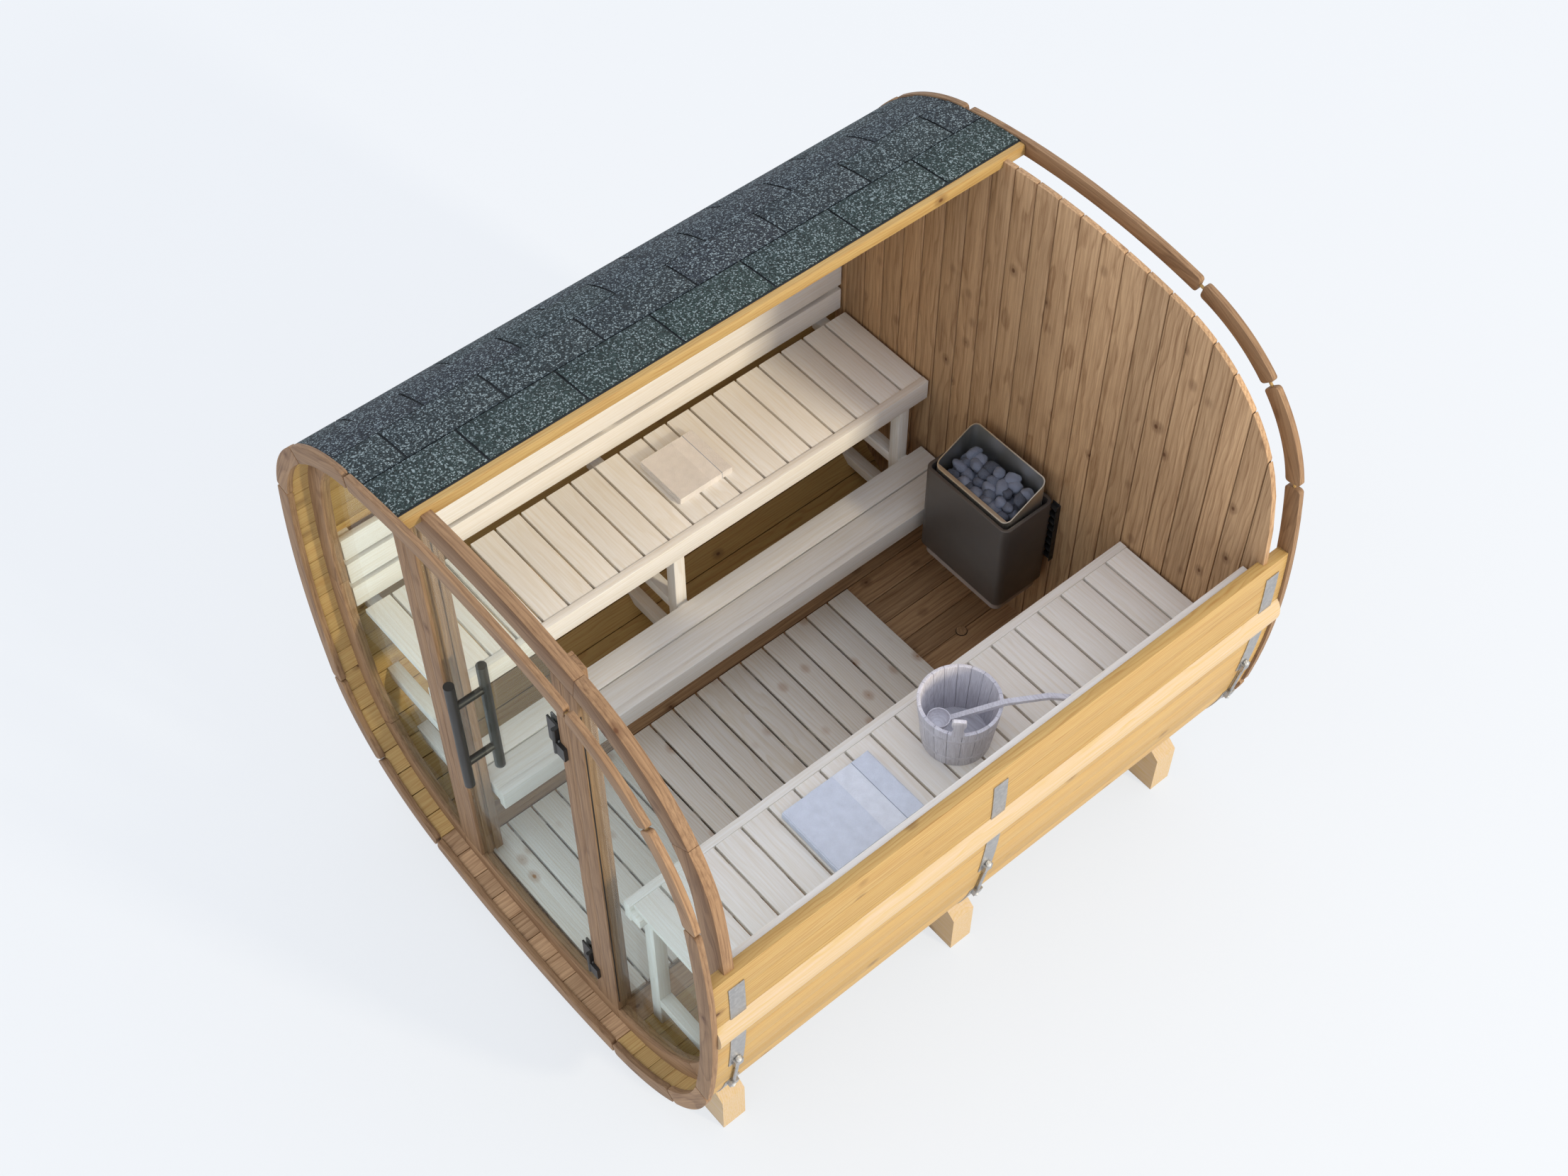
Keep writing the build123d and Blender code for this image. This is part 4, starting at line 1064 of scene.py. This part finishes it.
class SAUNA_OT_bucket(bpy.types.Operator):
    """Makes the staved bucket with its ear and hoops, and the ladle"""
    bl_idname = "sauna.bucket"
    bl_label = "Bucket and ladle"

    def execute(self, context):
        low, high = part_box("bucket")
        centre = Vector(((low[0] + high[0]) / 2, (low[1] + high[1]) / 2, low[2]))
        height, top, wall = 200 * MM, (high[0] - low[0]) / 2, 12 * MM
        flare, split = 23 * MM, 0.004
        foot, count = top - flare, sizes().bucket_staves
        boards = Boards(121, 1.2 * MM)
        for k in range(count):
            a, b = 2 * pi * k / count + split, 2 * pi * (k + 1) / count - split
            self.segment(boards, centre, a, b, 4, ((0, foot), (height, top)), wall, 2)
        self.ear(boards, centre + Vector((0, 0, height)), top - wall / 2,
                 atan2(top - foot, height))
        inside = foot - wall / 2
        disc = [[centre + Vector((inside * cos(t), inside * sin(t), z))
                 for t in [2 * pi * k / 32 for k in range(32)]] for z in (2 * MM, 14 * MM)]
        boards.loft(disc, 0)
        boards.piece("bucket_staves", "whitewashed_spruce", "bucket_wood", "bucket")
        hoops, parts, tall = Boards(122, 0.8 * MM), 24, 16 * MM
        for share in (0.18, 0.72):
            radius = foot + (top - foot) * share + 0.6 * MM
            levels = ((share * height, radius),
                      (share * height + tall, radius + (top - foot) * tall / height))
            for k in range(parts):
                a, b = 2 * pi * k / parts, 2 * pi * (k + 1) / parts
                self.segment(hoops, centre, a, b, 2, levels, 2 * MM, 0)
        hoops.piece("bucket_hoops", "whitewashed_spruce", "bucket_wood")
        dress("whitewashed_spruce_x", "ladle")
        return {"FINISHED"}

    def segment(self, boards, centre, a, b, count, levels, thick, along):
        """Part of a ring from one angle to another, between two heights and their radii."""
        turns, rings = [a + (b - a) * k / count for k in range(count + 1)], []
        for z, radius in levels:
            loop = [(radius, t) for t in turns] + [(radius - thick, t) for t in turns[::-1]]
            rings.append([centre + Vector((r * cos(t), r * sin(t), z)) for r, t in loop])
        boards.loft(rings, along)

    def ear(self, boards, rim, radius, lean):
        """Raised stave with concave shoulders and a wider head."""
        turn, half_thick = radians(-46), 6
        out, across = Vector((cos(turn), sin(turn), 0)), Vector((-sin(turn), cos(turn), 0))
        up = Vector((0, 0, cos(lean))) + out * sin(lean)
        half = [(28, -8), (20, 1), (16.5, 12), (15.5, 26), (16, 42), (19, 52), (22, 60),
                (22, 80), (18, 86)]
        outline = half + [(-x, z) for x, z in half[::-1]]
        foot, faces = rim + out * radius, (-half_thick, half_thick)
        rings = [[foot + (across * x + up * z + up.cross(across) * y) * MM for x, z in outline]
                 for y in faces]
        boards.loft(rings, [[(z * MM, x * MM, y * MM) for x, z in outline] for y in faces])


class SAUNA_OT_towels(bpy.types.Operator):
    """Folds the two towels on the benches"""
    bl_idname = "sauna.towels"
    bl_label = "Towels"

    def execute(self, context):
        for colour, layers, flat, rest in (("blue", 12, (0.70, 1.45), "right_seat_slats"),
                                           ("beige", 10, (0.50, 0.95), "left_seat_slats")):
            node = f"towel_{colour}"
            cloth = self.fold(Boards(len(node)), layers, *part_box(node))
            towel = cloth.piece(f"{node}_folded", f"terry_{node}", f"{colour}_towelling", node,
                                smooth=80)
        return {"FINISHED"}

    def fold(self, cloth, layers, low, high):
        """One long strip laid to and fro, with a round turn at each end of a layer."""
        chance = cloth.random.uniform
        pitch = (high[2] - low[2]) / layers
        half, bulge, parts, line = pitch * 0.86 / 2, 5 * MM, 12, []
        for layer in range(layers):
            z = low[2] + pitch * (layer + 0.5)
            # Four layers at a time bulge together, as the thick folds of the towel
            inset = pitch + (1 - sin(pi * (layer % 4 + 0.5) / 4)) * bulge
            y0 = low[1] + inset + chance(0, 1) * MM
            y1 = high[1] - inset - chance(0, 1) * MM
            run = [y0 + (y1 - y0) * t / parts for t in range(parts + 1)][::-1 if layer % 2 else 1]
            line += [(y, z) for y in run]
            if layer < layers - 1:
                turn = run[-1] + (-1 if layer % 2 else 1) * pitch * 0.75
                line += [(turn, z + pitch * 0.2), (turn, z + pitch * 0.8)]
        rows, count = 16, len(line)
        for j in range(rows + 1):
            x = low[0] + (high[0] - low[0]) * j / rows
            fray = 1.5 * MM if j in (0, rows) else 0.0
            for side in (-1, 1):
                for k, (y, z) in enumerate(line):
                    before, after = line[max(k - 1, 0)], line[min(k + 1, count - 1)]
                    dy, dz = after[0] - before[0], after[1] - before[1]
                    size = hypot(dy, dz) or 1
                    lift = noise.noise(Vector((x * 9, y * 9, 3.0))) * 1.2 * MM
                    end = fray * noise.noise(Vector((j, y * 40, z * 300)))
                    cloth.points.append((x + end, y - side * dz / size * half,
                                         z + side * dy / size * half + lift))

        def quad(*corners):
            cloth.faces.append([(2 * j + side) * count + k for j, side, k in corners])

        for j in range(rows):
            for k in range(count - 1):
                quad((j, 1, k), (j, 1, k + 1), (j + 1, 1, k + 1), (j + 1, 1, k))
                quad((j, 0, k + 1), (j, 0, k), (j + 1, 0, k), (j + 1, 0, k + 1))
            for k in (0, count - 1):
                quad((j, 0, k), (j, 1, k), (j + 1, 1, k), (j + 1, 0, k))
        for j in (0, rows):
            for k in range(count - 1):
                quad((j, 0, k), (j, 0, k + 1), (j, 1, k + 1), (j, 1, k))
        return cloth


class SAUNA_OT_outside(bpy.types.Operator):
    """Finishes the beams, rails, straps, tensioners and drain"""
    bl_idname = "sauna.outside"
    bl_label = "Outside"

    STRAPS = (-1051 * MM, -75 * MM, 1068 * MM)
    STRAP_TOP = 738 * MM
    STRAP_FOOT = 590 * MM
    LUG = 17 * MM

    def execute(self, context):
        dress("planed_pale_pine_x", "support_beams")
        dress("planed_pale_pine_y", "side_rails")
        dress("galvanised_steel", "side_straps", "under_straps", "strap_tensioners")
        self.drain()
        self.nuts()
        return {"FINISHED"}

    def drain(self):
        """Turned plug in the floor, with a dark joint round it that is painted shade."""
        low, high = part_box("drain_plug")
        middle = Vector(((low[0] + high[0]) / 2, (low[1] + high[1]) / 2, 0))
        radius, joint, sunk, up = (high[0] - low[0]) / 2, 2.5 * MM, 3 * MM, Vector((0, 0, 1))
        plug, ring = Boards(131), Boards(132, 0.5 * MM)
        plug.rod(middle + up * low[2], middle + up * high[2], radius - joint, 32)
        plug.piece("floor_plug", "planed_inner_pine_painted_shade", "pine_staves", "drain_plug")
        # The dark ring round the plug is painted shade in its joint
        ring.rod(middle + up * low[2], middle + up * (high[2] - sunk), radius, 32)
        ring.piece("floor_plug_joint", "pine_tongue_painted_joint_shade", "pine_staves")

    def nuts(self):
        """Hexagon nuts on the tension rods, and the rods' round ends beyond them."""
        high = facing_of_height(self.STRAP_TOP, STAVE_OUT) + degrees(self.LUG / SIDE_RADIUS)
        drop = degrees(asin((MIDDLE - self.STRAP_FOOT - CORNER_Z) / (CORNER_RADIUS - STAVE_OUT)))
        low = -drop - degrees(self.LUG / CORNER_RADIUS)
        nuts = Boards(133)
        for y in self.STRAPS:
            for side in (-1, 1):
                top, foot = (spot(turn, 0, y) for turn in (high, low))
                top.x *= side
                foot.x *= side
                way = (top - foot).normalized()
                for at, out in ((top, way), (foot, -way)):
                    for near, far, radius, sides in ((16, 26, 10, 6), (26, 32, 6, 16)):
                        nuts.rod(at + out * near * MM, at + out * far * MM, radius * MM, sides)
        nuts.piece("tension_nuts", "brushed_stainless", "stainless")


class SAUNA_OT_stage(bpy.types.Operator):
    """Sets the floor, the soft lights and the camera at the photograph's angle"""
    bl_idname = "sauna.stage"
    bl_label = "Stage"

    FLOOR_REACH = 30.0
    LAMP_PLACE, LAMP_TARGET = Vector((12.2, 3.5, 7.2)), Vector((0, 0, 1))
    LAMP_SIZE, LAMP_WATTS, LAMP_COLOUR = 1.2, 1300, "FFF0D2"
    VIEW_PLACE, VIEW_TURN = (3.0744, -2.6272, 6.4474), (36.92, 0, 49.75)
    LENS, SENSOR = 49.30, 36

    def execute(self, context):
        scene = context.scene
        scene.view_settings.view_transform = "Standard"
        mesh, reach = bpy.data.meshes.new("floor"), self.FLOOR_REACH
        corners = [(x * reach, y * reach, 0) for x, y in ((-1, -1), (1, -1), (1, 1), (-1, 1))]
        mesh.from_pydata(corners, [], [(0, 1, 2, 3)])
        mesh.materials.append(finish("pale_floor"))
        floor = self.placed(scene, "floor", mesh)
        self.world(scene)
        light = bpy.data.lights.new("key", "AREA")
        light.shape, light.size, light.energy = "SQUARE", self.LAMP_SIZE, self.LAMP_WATTS
        light.color = linear(self.LAMP_COLOUR)[:3]
        lamp = self.placed(scene, "key", light)
        lamp.location, aim = self.LAMP_PLACE, self.LAMP_TARGET - self.LAMP_PLACE
        lamp.rotation_euler = aim.to_track_quat("-Z", "Y").to_euler()
        camera = bpy.data.cameras.new("camera")
        camera.lens, camera.sensor_width = self.LENS, self.SENSOR
        scene.camera = self.placed(scene, "camera", camera)
        scene.camera.location = self.VIEW_PLACE
        scene.camera.rotation_euler = [radians(turn) for turn in self.VIEW_TURN]
        return {"FINISHED"}

    def placed(self, scene, name, data):
        item = bpy.data.objects.new(name, data)
        scene.collection.objects.link(item)
        return item

    def world(self, scene):
        """Soft even light from all round, with a near white background."""
        scene.world = bpy.data.worlds.new("studio")
        scene.world.use_nodes = True
        tree = scene.world.node_tree
        tree.nodes.clear()
        soft = add(tree, "Background", {"Color": linear("EAF0FF"), "Strength": 1.3})
        white = add(tree, "Background", {"Color": linear("F3F6F8"), "Strength": 1.0})
        both = add(tree, "MixShader", {0: seen(tree), 1: soft, 2: white})
        add(tree, "OutputWorld", {"Surface": both})


PIECES = [
    SAUNA_OT_staves, SAUNA_OT_shingles, SAUNA_OT_rings, SAUNA_OT_front, SAUNA_OT_door,
    SAUNA_OT_rear_wall, SAUNA_OT_benches, SAUNA_OT_duckboard, SAUNA_OT_heater, SAUNA_OT_bucket,
    SAUNA_OT_towels, SAUNA_OT_outside, SAUNA_OT_stage,
]


class SAUNA_PT_panel(bpy.types.Panel):
    """Lists the pieces in the sidebar"""
    bl_label = "Barrel sauna"
    bl_idname = "SAUNA_PT_panel"
    bl_space_type = "VIEW_3D"
    bl_region_type = "UI"
    bl_category = "Sauna"

    def draw(self, context):
        for piece in PIECES:
            self.layout.operator(piece.bl_idname)


CLASSES = [SaunaColours, SaunaSizes, *PIECES, SAUNA_PT_panel]


def register():
    for item in CLASSES:
        bpy.utils.register_class(item)
    bpy.types.Scene.sauna_colours = PointerProperty(type=SaunaColours)
    bpy.types.Scene.sauna_sizes = PointerProperty(type=SaunaSizes)


def unregister():
    del bpy.types.Scene.sauna_sizes
    del bpy.types.Scene.sauna_colours
    for item in reversed(CLASSES):
        bpy.utils.unregister_class(item)


def main():
    register()
    for piece in PIECES:
        group, name = piece.bl_idname.split(".")
        getattr(getattr(bpy.ops, group), name)()


if __name__ == "__main__":
    main()
